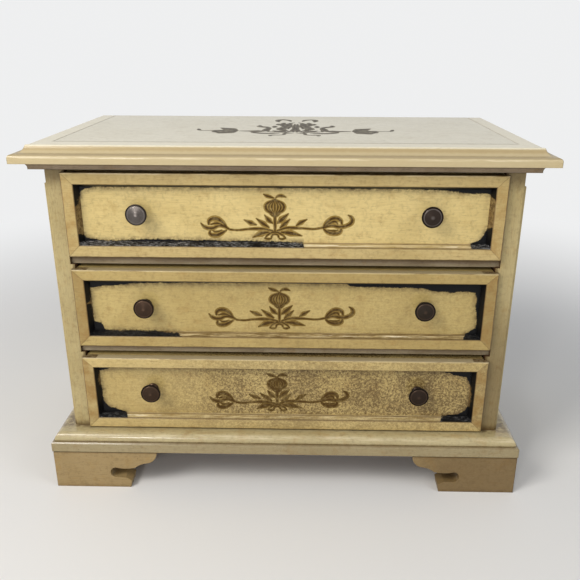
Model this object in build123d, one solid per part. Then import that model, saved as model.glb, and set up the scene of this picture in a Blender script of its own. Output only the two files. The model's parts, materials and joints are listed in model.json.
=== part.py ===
from build123d import *
import os
from math import cos, pi, radians, sin

# Musical jewellery box: a small three-drawer chest with a lift-up lid, in millimetres.
# Pieces are drawn in case coordinates: x is 0 at the middle, positive to the right; y is 0 at
# the front edges of the case sides, positive to the back; z is 0 where the feet stand.
# When a piece is written, it moves along y so that the origin is under the middle of the box.

# Case
case_width = 274.0
case_depth = 146.0
side_thickness = 11.0
foot_height = 26.4
plinth_height = 12.6
floor_above_plinth = 0.5
opening_height = 52.7
divider_thickness = 5.5
drawer_count = 3
top_opening_cut = 1.3
bottom_thickness = 8.0
back_thickness = 4.0
back_rebate = 5.5
housing_depth = 2.5
divider_setback = 2.7
side_frame_drop = 7.8
side_frame_strip = 16.0
side_frame_thickness = 1.4
side_frame_margin = 1.0

# Plinth moulding, feet and lid
plinth_projection = 13.3
plinth_band_height = 7.2
plinth_bead_setback = 2.1
plinth_bead_width = 3.6
plinth_softening = 0.7
foot_setback = 0.4
foot_thickness = 12.0
front_foot_width = 49.5
side_foot_width = 38.0
foot_block_size = 20.0
foot_toe_slope = 0.8
foot_lip_height = 5.0
foot_neck_setback = 3.9
foot_slot_floor = 7.4
foot_slot_height = 7.6
foot_slot_depth = 13.5
foot_slot_round = 3.6
foot_dip_reach = 3.0
foot_dip = 0.8
foot_bow_reach = 11.3
foot_bow_rise = 3.6
foot_bow = 0.7
foot_tip_reach = 17.6
foot_scroll = 1.9
lid_side_overhang = 15.5
lid_front_overhang = 12.0
lid_thickness = 9.4
lid_nose_height = 3.0
lid_bead_rise = 2.0
lid_bead_width = 1.7
lid_profile_width = 9.2
lid_cove_hollow = 1.5
lid_side_border = 9.5
lid_front_border = 13.0
joint_groove = 0.4
bed_height = 4.2
bed_setback = 5.2
bed_cove = 2.5
bed_width = 10.3
bed_hollow = 0.86
mirror_frame_front_width = 20.0
mirror_frame_side_width = 19.0
mirror_frame_rear_width = 28.0
mirror_thickness = 2.1
mirror_lap = 5.0
bumper_height = 0.85
bumper_radius = 2.6
bumper_clearance = 0.05

# Drawers
frame_proud = 3.5
frame_clearance = 0.3
frame_top_gap = 2.2
frame_side_lap = 1.5
frame_strip = 6.8
frame_bevel = 2.1
frame_bevel_depth = 4.4
frame_arris = 0.7
panel_setback = 1.4
front_thickness = 8.0
front_clearance = 0.8
drawer_side_clearance = 1.2
drawer_side_thickness = 6.0
drawer_side_height = 40.0
top_drawer_gap = 1.3
drawer_back_gap = 6.0
drawer_base_thickness = 3.0
drawer_base_rise = 2.0
drawer_groove = 2.5
drawer_back_drop = 2.0
lining_thickness = 0.8
lining_drop = 3.0

# Knobs
knob_spacing = 170.0
knob_above_middle = 1.4
knob_radius = 6.2
knob_length = 9.0
knob_rim = 0.9
knob_cone = 1.2
knob_flare = 1.2
knob_neck_radius = 2.2
knob_flange_radius = 3.6
screw_radius = 1.2
screw_head_radius = 3.0
screw_head_height = 1.8
screw_depth = 5.0
screw_clearance = 0.05
screw_end_gap = 0.1

# Tray under the lid
tray_floor_thickness = 3.0
tray_depth = 18.8
tray_rail_thickness = 4.5
tray_rail_drop = 0.5
tray_gap = 0.5
insert_drop = 1.8
insert_wall = 1.5
insert_floor = 1.0
tray_ledge = 24.0
ring_bay_width = 88.0
tray_divider = 3.0
ring_roll_radius = 5.0
ring_roll_taper = 0.35
ring_roll_rise = 2.4
ring_roll_gap = 0.5
ring_roll_end_gap = 1.0

# Hinges
hinge_spacing = 160.0
hinge_length = 30.0
hinge_leaf_thickness = 0.9
hinge_knuckle_radius = 1.9
hinge_knuckle_count = 5
hinge_end_gap = 0.15
hinge_face_gap = 0.1
hinge_pin_radius = 0.9
hinge_pin_clearance = 0.05
hinge_pin_head = 0.6
hinge_case_leaf_height = 14.0
hinge_lid_leaf_height = 11.0
hinge_screw_radius = 0.7
hinge_screw_head_radius = 1.4
hinge_screw_end_gap = 0.3
hinge_screw_inset = 6.0

# Music movement, on the back panel behind the top drawer
movement_x = 20.0
movement_space = 30.0
plate_thickness = 2.6
plate_gap = 1.8
plate_left = 15.0
plate_right = 53.0
barrel_inset = 2.5
barrel_length = 10.0
barrel_gap = 0.4
arbor_radius = 1.5
arbor_hole_clearance = 1.6
shaft_clearance = 0.05
crown_teeth = 40
pinion_teeth = 10
crown_inset = 1.6
tooth_height = 1.0
tooth_face = 2.0
tooth_root_share = 0.26
tooth_tip_share = 0.11
mesh_clearance = 0.1
cylinder_radius = 6.5
cylinder_length = 21.0
cylinder_shaft_radius = 0.8
pin_radius = 0.22
pin_height = 0.5
pin_turns = 6
note_count = 18
bracket_thickness = 2.0
bracket_gap = 1.0
bracket_half_height = 3.0
comb_thickness = 1.2
comb_gap = 0.2
comb_tooth_length = 5.5
comb_slit = 0.35
end_crown_teeth = 20
fly_pinion_teeth = 8
fly_radius = 5.0
fly_height = 5.0
fly_blade = 0.6
fly_arm_thickness = 1.6
fly_arm_half_width = 2.2
fly_arm_gap = 0.3
plunger_radius = 1.2
plunger_clearance = 0.1
plunger_head_radius = 2.5
plunger_head_height = 1.5
plunger_gap = 0.4
key_hub_radius = 3.0
key_hub_length = 8.0
key_hub_gap = 1.5
key_wing_span = 20.0
key_wing_length = 11.0
key_wing_thickness = 1.8
key_wing_hole = 2.6
movement_screw_radius = 1.3
movement_screw_head_radius = 2.6
movement_screw_head_height = 1.5

# Places worked out from the sizes above
half_case = case_width / 2
half_opening = half_case - side_thickness
plinth_top = foot_height + plinth_height
floor_top = plinth_top + floor_above_plinth
opening_pitch = opening_height + divider_thickness
opening_bottoms = [floor_top + opening_pitch * (drawer_count - 1 - row) for row in range(drawer_count)]
rim_height = opening_bottoms[0] + opening_height - top_opening_cut
frame_height = opening_height - frame_clearance - frame_top_gap
lid_underside = rim_height + bumper_height + bumper_clearance
lid_slab_bottom = lid_underside + bed_height
lid_top = lid_slab_bottom + lid_thickness
half_lid = half_case + lid_side_overhang
back_inside = case_depth - back_thickness
tray_floor_bottom = rim_height - tray_depth
tray_floor_top = tray_floor_bottom + tray_floor_thickness
panel_back = panel_setback + front_thickness
hinge_y = case_depth + hinge_face_gap + hinge_knuckle_radius
hinge_z = (rim_height + lid_underside) / 2
key_end = case_depth + key_hub_gap + key_hub_length + key_wing_length - key_hub_radius
front_most = -plinth_projection
centre_shift = -(front_most + key_end) / 2
movement_z = (opening_bottoms[0] + tray_floor_bottom) / 2
top_drawer_back = back_inside - movement_space
plate_height = tray_floor_bottom - opening_bottoms[0] - 2 * plate_gap
barrel_radius = plate_height / 2 - barrel_inset
crown_radius = barrel_radius - crown_inset
hinge_screw_length = hinge_leaf_thickness + back_thickness - hinge_screw_end_gap
rounding = sin(pi / 4)


def block(x, y, z):
    """A square-edged piece between two x, two y and two z places."""
    middle = Pos((x[0] + x[1]) / 2, (y[0] + y[1]) / 2, (z[0] + z[1]) / 2)
    return middle * Box(x[1] - x[0], y[1] - y[0], z[1] - z[0])


def rod(radius, length, start, direction):
    """A round bar from a start point along a direction."""
    return Plane(origin=start, z_dir=direction) * Pos(0, 0, length / 2) * Cylinder(radius, length)


def facing_front(x, y, z):
    """A plane on the box's front: its x runs right, its y up, and it faces forward."""
    return Plane(origin=(x, y, z), x_dir=(1, 0, 0), z_dir=(0, -1, 0))


def both_sides(shape):
    """The right-hand shape and its mirror image on the left."""
    return [shape, mirror(shape, about=Plane.YZ)]


def profile_face(lines):
    """A face from the outline of a moulding, drawn outwards along x and up along z."""
    return Plane.XZ * make_face(Curve() + lines)


def side_run(face, start, end):
    """A moulding on the right side of the box, between two y places."""
    return Pos(0, start, 0) * extrude(face, amount=end - start, dir=(0, 1, 0))


def front_run(face, length):
    """A moulding across the front, as long as stated, centred."""
    return Rot(0, 0, -90) * Pos(0, -length / 2, 0) * extrude(face, amount=length, dir=(0, 1, 0))


def mitre_plane(x, y):
    """The 45 degree cut of a front right corner, facing the front piece."""
    return Plane(origin=(x, y, 0), z_dir=(-1, -1, 0))


def mitred_run(face, half_width, front, back):
    """Front and side mouldings whose inner faces stand on the given rectangle."""
    reach = 4 * half_width
    across = Pos(0, front, 0) * front_run(face, reach)
    across = split(across, bisect_by=mitre_plane(half_width, front), keep=Keep.TOP)
    left_cut = Plane(origin=(-half_width, front, 0), z_dir=(1, -1, 0))
    across = split(across, bisect_by=left_cut, keep=Keep.TOP)
    right = Pos(half_width, 0, 0) * side_run(face, front - half_width, back)
    right = split(right, bisect_by=mitre_plane(half_width, front), keep=Keep.BOTTOM)
    return across, both_sides(right)


def mitred_frame(width, height, strips, thickness, bevel=0.0, bevel_depth=0.0, arris=0.0):
    """Four mitred strips round an opening, lying on z = 0 and centred on the origin.

    strips holds the widths of the left, right, bottom and top strip at the front.
    """
    left, right, bottom, top = strips
    inner_x = (-width / 2 + left, width / 2 - right)
    inner_y = (-height / 2 + bottom, height / 2 - top)
    ring = block((-width / 2, width / 2), (-height / 2, height / 2), (0, thickness))
    if bevel:
        inner_size = (inner_x[1] - inner_x[0], inner_y[1] - inner_y[0])
        middle = ((inner_x[0] + inner_x[1]) / 2, (inner_y[0] + inner_y[1]) / 2)
        low = thickness - bevel_depth
        small = Pos(*middle, low) * Rectangle(inner_size[0] - 2 * bevel, inner_size[1] - 2 * bevel)
        large = Pos(*middle, thickness) * Rectangle(*inner_size)
        ring -= loft([small, large])
        inner_x = (inner_x[0] + bevel, inner_x[1] - bevel)
        inner_y = (inner_y[0] + bevel, inner_y[1] - bevel)
    ring -= block(inner_x, inner_y, (-1, thickness))
    if arris:
        ring = fillet(ring.faces().sort_by(Axis.Z)[-1].edges(), arris)
    reach = max(strips) + bevel
    x, y = width / 2, height / 2
    wedges = [
        [(-x, -y), (-x, y), (-x + reach, y - reach), (-x + reach, -y + reach)],
        [(x, -y), (x, y), (x - reach, y - reach), (x - reach, -y + reach)],
        [(-x, -y), (x, -y), (x - reach, -y + reach), (-x + reach, -y + reach)],
        [(-x, y), (x, y), (x - reach, y - reach), (-x + reach, y - reach)],
    ]
    pieces = []
    for corners in wedges:
        wedge = extrude(make_face(Polyline(*corners, close=True)), amount=thickness)
        pieces += (ring & wedge).solids()
    return pieces


def save(name, shapes):
    """Writes one piece, or a group of like pieces, with the origin under the box's middle."""
    solids = []
    for shape in shapes if isinstance(shapes, list) else [shapes]:
        solids += shape.solids()
    placed = [Pos(0, centre_shift, 0) * solid for solid in solids]
    result = placed[0] if len(placed) == 1 else Compound(children=placed)
    result.label = name
    export_step(result, os.path.join("parts", name + ".step"))


# Case boards

def case_side():
    """The right side board, with its housings for dividers and tray, and the rebate for the back."""
    board = block((half_opening, half_case), (0, case_depth), (foot_height, rim_height))
    housing_x = (half_opening, half_opening + housing_depth)
    for bottom in opening_bottoms[:-1]:
        board -= block(housing_x, (0, back_inside), (bottom - divider_thickness, bottom))
    board -= block(housing_x, (panel_back + tray_gap, back_inside), (tray_floor_bottom, tray_floor_top))
    rebate_x = (half_opening, half_opening + back_rebate)
    return board - block(rebate_x, (back_inside, case_depth), (foot_height, rim_height))


def bottom_board():
    """The floor of the case, under the lowest drawer."""
    return block((-half_opening, half_opening), (0, back_inside), (floor_top - bottom_thickness, floor_top))


def divider(row):
    """The board under a drawer, set back from the front and let into both sides."""
    half = half_opening + housing_depth
    top = opening_bottoms[row]
    return block((-half, half), (divider_setback, back_inside), (top - divider_thickness, top))


def back_panel():
    """The thin back, with holes for the winding shaft and the movement's screws."""
    half = half_opening + back_rebate
    panel = block((-half, half), (back_inside, case_depth), (floor_top - bottom_thickness, rim_height))
    shaft_hole = arbor_radius + arbor_hole_clearance
    panel -= rod(shaft_hole, back_thickness, (movement_x, back_inside, movement_z), (0, 1, 0))
    for x, z in movement_screw_places():
        hole = movement_screw_radius + screw_clearance
        panel -= rod(hole, back_thickness, (x, back_inside, z), (0, 1, 0))
    return panel


def side_frame():
    """The thin mitred frame planted on the right side."""
    top = rim_height - side_frame_drop
    length = case_depth - 2 * side_frame_margin
    strips = [side_frame_strip] * 4
    height = top - plinth_top
    middle = (half_case, case_depth / 2, (top + plinth_top) / 2)
    plane = Plane(origin=middle, x_dir=(0, 1, 0), z_dir=(1, 0, 0))
    pieces = mitred_frame(length, height, strips, side_frame_thickness, arris=side_frame_thickness / 3)
    return [plane * piece for piece in pieces]


# Plinth and feet

def plinth_profile():
    """Flat band below, a quirk, and a rounded bead above it."""
    out = plinth_projection
    band_top = foot_height + plinth_band_height
    bead = out - plinth_bead_setback
    soft = plinth_softening
    quirk = (bead, band_top)
    bead_top = (bead - plinth_bead_width, plinth_top)
    crown_rise = (plinth_top - band_top) * rounding + soft / 2
    crown = (bead - plinth_bead_width * (1 - rounding), band_top + crown_rise)
    return profile_face([
        Line((0, foot_height), (out - soft, foot_height)),
        Line((out - soft, foot_height), (out, foot_height + soft)),
        Line((out, foot_height + soft), (out, band_top - soft)),
        Line((out, band_top - soft), (out - soft, band_top)),
        Line((out - soft, band_top), quirk),
        ThreePointArc(quirk, crown, bead_top),
        Line(bead_top, (0, plinth_top)),
        Line((0, plinth_top), (0, foot_height)),
    ])


def foot_outline(width):
    """The face of a bracket foot: square outside, with a slot and a scroll inside."""
    toe = (width - foot_toe_slope, 0)
    lip = (width, foot_lip_height)
    neck = (width - foot_neck_setback, foot_slot_floor)
    slot_x = width - foot_slot_depth + foot_slot_round
    slot_top = foot_slot_floor + foot_slot_height
    dip = (width + foot_dip_reach, slot_top)
    bow = (width + foot_bow_reach, slot_top + foot_bow_rise)
    tip = (width + foot_tip_reach, foot_height)
    return [
        Line((0, 0), toe),
        Line(toe, lip),
        Line(lip, neck),
        Line(neck, (slot_x, foot_slot_floor)),
        SagittaArc((slot_x, foot_slot_floor), (slot_x, slot_top), foot_slot_round),
        SagittaArc((slot_x, slot_top), dip, -foot_dip),
        SagittaArc(dip, bow, foot_bow),
        SagittaArc(bow, tip, -foot_scroll),
        Line(tip, (0, foot_height)),
        Line((0, foot_height), (0, 0)),
    ]


def bracket(width):
    """A foot bracket standing along +x from its outer corner, with its face on y = 0."""
    face = Plane.XZ * make_face(Curve() + foot_outline(width))
    return extrude(face, amount=foot_thickness, dir=(0, 1, 0))


def front_foot():
    """The front right foot: a front and a side bracket, mitred, and the block inside them."""
    out = plinth_projection - foot_setback
    corner = (half_case + out, -out)
    across = Pos(*corner, 0) * mirror(bracket(front_foot_width), about=Plane.YZ)
    along = Pos(*corner, 0) * Rot(0, 0, 90) * bracket(side_foot_width)
    cut = Plane(origin=(*corner, 0), z_dir=(-1, -1, 0))
    across = split(across, bisect_by=cut, keep=Keep.TOP)
    along = split(along, bisect_by=cut, keep=Keep.BOTTOM)
    inner = (corner[0] - foot_thickness, corner[1] + foot_thickness)
    block_x = (inner[0] - foot_block_size, inner[0])
    block_y = (inner[1], inner[1] + foot_block_size)
    return [across, along, block(block_x, block_y, (0, foot_height))]


def back_foot():
    """The back right foot: a side bracket, with a block flush with the back of the case."""
    out = plinth_projection - foot_setback
    face_x = half_case + out
    along = mirror(Rot(0, 0, 90) * bracket(side_foot_width), about=Plane.XZ)
    along = Pos(face_x, case_depth, 0) * along
    inner = face_x - foot_thickness
    block_y = (case_depth - foot_block_size, case_depth)
    return [along, block((inner - foot_block_size, inner), block_y, (0, foot_height))]


# Lid

def lid_profile(border):
    """The lid's edge: nose, bead, quirk and cove, then the flat border out to the joint line."""
    out = border + lid_profile_width
    nose = lid_slab_bottom + lid_nose_height
    bead_top = nose + lid_bead_rise
    bead_in = out - lid_bead_width
    fillet_in = bead_in - joint_groove
    rise = bead_top + joint_groove / 2
    middle = (out - lid_bead_width * (1 - rounding), nose + lid_bead_rise * rounding)
    cove_top = (border + joint_groove, lid_top - joint_groove)
    return profile_face([
        Line((0, lid_slab_bottom), (out, lid_slab_bottom)),
        Line((out, lid_slab_bottom), (out, nose)),
        ThreePointArc((out, nose), middle, (bead_in, bead_top)),
        Line((bead_in, bead_top), (fillet_in, rise)),
        SagittaArc((fillet_in, rise), cove_top, lid_cove_hollow),
        Line(cove_top, (border, lid_top)),
        Line((border, lid_top), (joint_groove, lid_top)),
        Line((joint_groove, lid_top), (0, lid_top - joint_groove)),
        Line((0, lid_top - joint_groove), (0, lid_slab_bottom)),
    ])


def lid_joint():
    """Half width and front place of the joint line between the lid's panel and its mouldings."""
    half = half_lid - lid_profile_width - lid_side_border
    front = -lid_front_overhang + lid_profile_width + lid_front_border
    return half, front


def lid_mouldings():
    """Front and side mouldings of the lid, with borders of two widths, mitred at the corners."""
    half, front = lid_joint()
    side_cut = (lid_front_border + lid_profile_width, lid_side_border + lid_profile_width)
    cut = Plane(origin=(half, front, 0), z_dir=(-side_cut[0], -side_cut[1], 0))
    left_cut = Plane(origin=(-half, front, 0), z_dir=(side_cut[0], -side_cut[1], 0))
    across = Pos(0, front, 0) * front_run(lid_profile(lid_front_border), 4 * half)
    across = split(across, bisect_by=cut, keep=Keep.TOP)
    across = split(across, bisect_by=left_cut, keep=Keep.TOP)
    right = Pos(half, 0, 0) * side_run(lid_profile(lid_side_border), front - half, case_depth)
    right = split(right, bisect_by=cut, keep=Keep.BOTTOM)
    return across, both_sides(right)


def lid_panel():
    """The flat field of the lid, with a fine groove at its joint line."""
    half, front = lid_joint()
    panel = block((-half, half), (front, case_depth), (lid_slab_bottom, lid_top))
    rim = panel.faces().sort_by(Axis.Z)[-1].edges()
    grooved = rim.filter_by(Axis.Y) + rim.filter_by(Axis.X).sort_by(Axis.Y)[:1]
    return chamfer(grooved, joint_groove)


def bed_profile():
    """The small cove moulding under the lid's overhang."""
    out = bed_width
    low = out - bed_cove
    return profile_face([
        Line((0, lid_underside), (low, lid_underside)),
        SagittaArc((low, lid_underside), (out, lid_slab_bottom), bed_hollow),
        Line((out, lid_slab_bottom), (0, lid_slab_bottom)),
        Line((0, lid_slab_bottom), (0, lid_underside)),
    ])


def bed_inner_edge():
    """Half width and front place of the rectangle that the bed moulding runs round."""
    return half_lid - bed_setback - bed_width, -lid_front_overhang + bed_setback + bed_width


def bed_mouldings():
    """The cove mouldings under the front and both sides of the lid."""
    half, front = bed_inner_edge()
    across, sides = mitred_run(bed_profile(), half, front, case_depth)
    return [across] + sides


def mirror_limits():
    """x and y places of the mirror glass, under the laps of its frame."""
    half, front = bed_inner_edge()
    x = half - mirror_frame_side_width + mirror_lap
    y_low = front + mirror_frame_front_width - mirror_lap
    y_high = case_depth - mirror_frame_rear_width + mirror_lap
    return (-x, x), (y_low, y_high)


def mirror_frame():
    """The mitred frame under the lid that holds the mirror in a rebate."""
    half, front = bed_inner_edge()
    depth = case_depth - front
    strips = [mirror_frame_side_width] * 2 + [mirror_frame_front_width, mirror_frame_rear_width]
    pieces = mitred_frame(2 * half, depth, strips, bed_height)
    rebate = mirror_rebate()
    return [Pos(0, (front + case_depth) / 2, lid_underside) * piece - rebate for piece in pieces]


def mirror_rebate():
    """The space of the mirror glass."""
    x, y = mirror_limits()
    return block(x, y, (lid_slab_bottom - mirror_thickness, lid_slab_bottom))


def bumpers():
    """Felt dots on the rim that the closed lid rests on."""
    x = half_opening + side_thickness / 2
    near, far = side_thickness, back_inside - side_thickness
    dots = []
    for y in (near, far):
        dots += both_sides(rod(bumper_radius, bumper_height, (x, y, rim_height), (0, 0, 1)))
    return dots


# Hinges

def knuckles(start, leaf):
    """Every second knuckle of a hinge barrel, beginning at the given one, with its leaf."""
    step = hinge_length / hinge_knuckle_count
    body = leaf
    for index in range(hinge_knuckle_count):
        low = -hinge_length / 2 + index * step
        place = (low + hinge_end_gap / 2, hinge_y, hinge_z)
        barrel = rod(hinge_knuckle_radius, step - hinge_end_gap, place, (1, 0, 0))
        web = block(
            (low + hinge_end_gap / 2, low + step - hinge_end_gap / 2),
            (case_depth, case_depth + hinge_leaf_thickness),
            (hinge_z, hinge_z + hinge_knuckle_radius) if start else (hinge_z - hinge_knuckle_radius, hinge_z),
        )
        if index % 2 == start:
            body = body + barrel + web
    bore = hinge_pin_radius + hinge_pin_clearance
    return body - rod(bore, hinge_length, (-hinge_length / 2, hinge_y, hinge_z), (1, 0, 0))


def hinge_leaf(z_low, z_high):
    """A flat leaf on the back, with its screw holes."""
    leaf = block(
        (-hinge_length / 2 + hinge_end_gap / 2, hinge_length / 2 - hinge_end_gap / 2),
        (case_depth, case_depth + hinge_leaf_thickness),
        (z_low, z_high),
    )
    for x in hinge_screw_xs():
        place = (x, case_depth, (z_low + z_high) / 2)
        leaf -= rod(hinge_screw_radius + screw_clearance, hinge_leaf_thickness, place, (0, 1, 0))
    return leaf


def hinge_screw_xs():
    """x places of a leaf's screws, from the hinge's middle."""
    x = hinge_length / 2 - hinge_screw_inset
    return (-x, x)


def hinge_screws(z_low, z_high):
    """Two round-headed screws in one leaf."""
    screws = []
    for x in hinge_screw_xs():
        z = (z_low + z_high) / 2
        face = case_depth + hinge_leaf_thickness
        head = Pos(x, face, z) * Rot(-90, 0, 0) * Pos(0, 0, hinge_screw_radius / 2)
        head *= Cylinder(hinge_screw_head_radius, hinge_screw_radius)
        shank = rod(hinge_screw_radius, hinge_screw_length, (x, face, z), (0, -1, 0))
        screws.append(head + shank)
    return screws


def hinge_levels():
    """Low and high places of the case leaf and of the lid leaf."""
    case_levels = (hinge_z - hinge_knuckle_radius - hinge_case_leaf_height, hinge_z - hinge_knuckle_radius)
    lid_levels = (hinge_z + hinge_knuckle_radius, hinge_z + hinge_knuckle_radius + hinge_lid_leaf_height)
    return case_levels, lid_levels


def hinge_pin():
    """The pin of one hinge, with a small head at each end."""
    pin = rod(hinge_pin_radius, hinge_length, (-hinge_length / 2, hinge_y, hinge_z), (1, 0, 0))
    for side in (-1, 1):
        start = (side * hinge_length / 2, hinge_y, hinge_z)
        pin += rod(hinge_knuckle_radius - hinge_face_gap, hinge_pin_head, start, (side, 0, 0))
    return pin


def at_hinges(shapes):
    """Copies of one hinge's pieces at both hinges."""
    return [Pos(side * hinge_spacing / 2, 0, 0) * shape for side in (-1, 1) for shape in shapes]


def screw_bores(levels):
    """Holes in the lid and case wood for the hinge screws."""
    cutters = []
    for x in hinge_screw_xs():
        place = (x, case_depth + hinge_leaf_thickness, (levels[0] + levels[1]) / 2)
        radius = hinge_screw_radius + screw_clearance
        cutters.append(rod(radius, hinge_screw_length + screw_end_gap, place, (0, -1, 0)))
    return at_hinges(cutters)


# Drawers

def drawer_back_y(row):
    """Where a drawer's box ends: the top one leaves room for the music movement."""
    return top_drawer_back if row == 0 else back_inside - drawer_back_gap


def drawer_side_top(row):
    """Top of a drawer's sides: the top drawer's pass under the tray."""
    if row == 0:
        return tray_floor_bottom - top_drawer_gap
    return opening_bottoms[row] + frame_clearance + drawer_side_height


def drawer_front(row):
    """The board behind the frame, bored and sunk at the back for the knob screws."""
    bottom = opening_bottoms[row] + frame_clearance
    half = half_opening - front_clearance
    board = block((-half, half), (panel_setback, panel_back), (bottom, bottom + frame_height))
    for x, z in knob_places(row):
        board -= rod(screw_radius + screw_clearance, front_thickness, (x, panel_setback, z), (0, 1, 0))
        sink = screw_head_height + screw_clearance
        board -= rod(screw_head_radius + screw_clearance, sink, (x, panel_back - sink, z), (0, 1, 0))
    return board


def drawer_frame(row):
    """The mitred frame on a drawer's front, lapping the case sides."""
    width = 2 * (half_opening + frame_side_lap)
    middle = opening_bottoms[row] + frame_clearance + frame_height / 2
    thickness = frame_proud + panel_setback
    pieces = mitred_frame(
        width, frame_height, [frame_strip] * 4, thickness, frame_bevel, frame_bevel_depth, frame_arris
    )
    plane = facing_front(0, panel_setback, middle)
    half = half_opening - front_clearance
    low, high = middle - frame_height / 2, middle + frame_height / 2
    relief = both_sides(block((half, half + side_thickness), (-frame_clearance, panel_setback), (low, high)))
    return [plane * piece - relief for piece in pieces]


def drawer_sides(row):
    """Both sides of a drawer's box, grooved for its bottom."""
    outer = half_opening - drawer_side_clearance
    inner = outer - drawer_side_thickness
    low = opening_bottoms[row] + frame_clearance
    side = block((inner, outer), (panel_back, drawer_back_y(row)), (low, drawer_side_top(row)))
    base_low = low + drawer_base_rise
    groove_z = (base_low, base_low + drawer_base_thickness)
    groove = block((inner, inner + drawer_groove), (panel_back, drawer_back_y(row)), groove_z)
    return both_sides(side - groove)


def drawer_inner_half():
    """Half of a drawer box's inner width."""
    return half_opening - drawer_side_clearance - drawer_side_thickness


def drawer_base_top(row):
    """Top of a drawer's bottom."""
    return opening_bottoms[row] + frame_clearance + drawer_base_rise + drawer_base_thickness


def drawer_back(row):
    """The back of a drawer's box, standing on its bottom."""
    half = drawer_inner_half()
    end = drawer_back_y(row)
    top = drawer_side_top(row) - drawer_back_drop
    return block((-half, half), (end - drawer_side_thickness, end), (drawer_base_top(row), top))


def drawer_bottom(row):
    """The thin bottom of a drawer, held in the grooves of its sides."""
    half = drawer_inner_half() + drawer_groove
    top = drawer_base_top(row)
    return block((-half, half), (panel_back, drawer_back_y(row)), (top - drawer_base_thickness, top))


def drawer_lining(row):
    """The velvet lining of a drawer: a floor and four walls."""
    half = drawer_inner_half()
    start, end = panel_back, drawer_back_y(row) - drawer_side_thickness
    low, high = drawer_base_top(row), drawer_side_top(row) - lining_drop
    skin = lining_thickness
    inside = block((-half + skin, half - skin), (start + skin, end - skin), (low + skin, high + skin))
    return block((-half, half), (start, end), (low, high)) - inside


def knob_places(row):
    """x and z of a drawer's two knobs."""
    z = opening_bottoms[row] + frame_clearance + frame_height / 2 + knob_above_middle
    return [(-knob_spacing / 2, z), (knob_spacing / 2, z)]


def knob():
    """A turned metal knob along +z: flange, waist, flared cap and a low cone."""
    face = knob_length - knob_cone
    rim = face - knob_rim
    flange = knob_flange_radius
    foot = knob_rim
    shoulder = (knob_radius - knob_flare, rim - knob_flare / 2)
    outline = [
        Line((0, 0), (flange, 0)),
        Line((flange, 0), (flange, foot)),
        ThreePointArc((flange, foot), (knob_neck_radius, (foot + rim) / 2), shoulder),
        Line(shoulder, (knob_radius, rim)),
        Line((knob_radius, rim), (knob_radius, face)),
        Line((knob_radius, face), (0, knob_length)),
        Line((0, knob_length), (0, 0)),
    ]
    body = revolve(Plane.XZ * make_face(Curve() + outline), Axis.Z)
    return body - Pos(0, 0, screw_depth / 2) * Cylinder(screw_radius + screw_clearance, screw_depth)


def knob_screw():
    """The screw of a knob, along +z from the back of the front board."""
    reach = front_thickness + screw_depth - screw_end_gap
    head = Pos(0, 0, screw_head_height / 2) * Cylinder(screw_head_radius, screw_head_height)
    slot = Box(2 * screw_head_radius, screw_head_height / 3, screw_head_height)
    return Pos(0, 0, reach / 2) * Cylinder(screw_radius, reach) + (head - slot)


def drawer_knobs(row):
    """Both knobs of a drawer, with their screws."""
    pieces = []
    for x, z in knob_places(row):
        pieces.append(facing_front(x, panel_setback, z) * knob())
        pieces.append(facing_front(x, panel_back, z) * knob_screw())
    return pieces


# Tray

def tray_floor():
    """The board between the top drawer and the tray, with the plunger's hole."""
    half = half_opening + housing_depth
    board = block((-half, half), (panel_back + tray_gap, back_inside), (tray_floor_bottom, tray_floor_top))
    return board - plunger_bore()


def tray_rail():
    """The front wall of the tray, behind the top drawer's front."""
    start = panel_back + tray_gap
    return block(
        (-half_opening, half_opening),
        (start, start + tray_rail_thickness),
        (tray_floor_top, rim_height - tray_rail_drop),
    )


def tray_bays():
    """x ranges and y range of the ring bay and of the two open compartments."""
    edge = half_opening - insert_wall
    first = -edge + ring_bay_width
    room = (edge - first - 2 * tray_divider) / 2
    second = first + tray_divider + room
    ranges = [(-edge, first), (first + tray_divider, second), (second + tray_divider, edge)]
    start = panel_back + tray_gap + tray_rail_thickness + insert_wall
    return ranges, (start, back_inside - tray_ledge)


def tray_insert():
    """The velvet-covered insert of the tray, with a raised ledge over the music movement."""
    ranges, y = tray_bays()
    start = y[0] - insert_wall
    top = rim_height - insert_drop
    insert = block((-half_opening, half_opening), (start, back_inside), (tray_floor_top, top))
    for x in ranges:
        insert -= block(x, y, (tray_floor_top + insert_floor, top))
    return insert - plunger_bore()


def ring_rolls():
    """Padded rolls that hold rings between them, crowned at the middle and drawn in at the ends."""
    ranges, y = tray_bays()
    low, high = ranges[0]
    half = (high - low) / 2 - ring_roll_end_gap
    floor = tray_floor_top + insert_floor
    end_radius = ring_roll_radius - ring_roll_taper
    shoulder = half - end_radius
    bend = (shoulder + end_radius * rounding, end_radius * rounding)
    outline = [
        Line((-half, 0), (half, 0)),
        ThreePointArc((half, 0), bend, (shoulder, end_radius)),
        ThreePointArc((shoulder, end_radius), (0, ring_roll_radius), (-shoulder, end_radius)),
        ThreePointArc((-shoulder, end_radius), (-bend[0], bend[1]), (-half, 0)),
    ]
    roll = revolve(make_face(Curve() + outline), Axis.X)
    roll = Pos((low + high) / 2, 0, floor + ring_roll_rise) * roll
    roll = split(roll, bisect_by=Plane(origin=(0, 0, floor), z_dir=(0, 0, 1)), keep=Keep.TOP)
    pitch = 2 * ring_roll_radius + ring_roll_gap
    count = int((y[1] - y[0] + ring_roll_gap) / pitch)
    first = (y[0] + y[1]) / 2 - pitch * (count - 1) / 2
    return [Pos(0, first + pitch * index, 0) * roll for index in range(count)]


# Music movement

def tooth_pitch(radius, count):
    """Distance from tooth to tooth along the pitch circle."""
    return 2 * pi * radius / count


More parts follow.
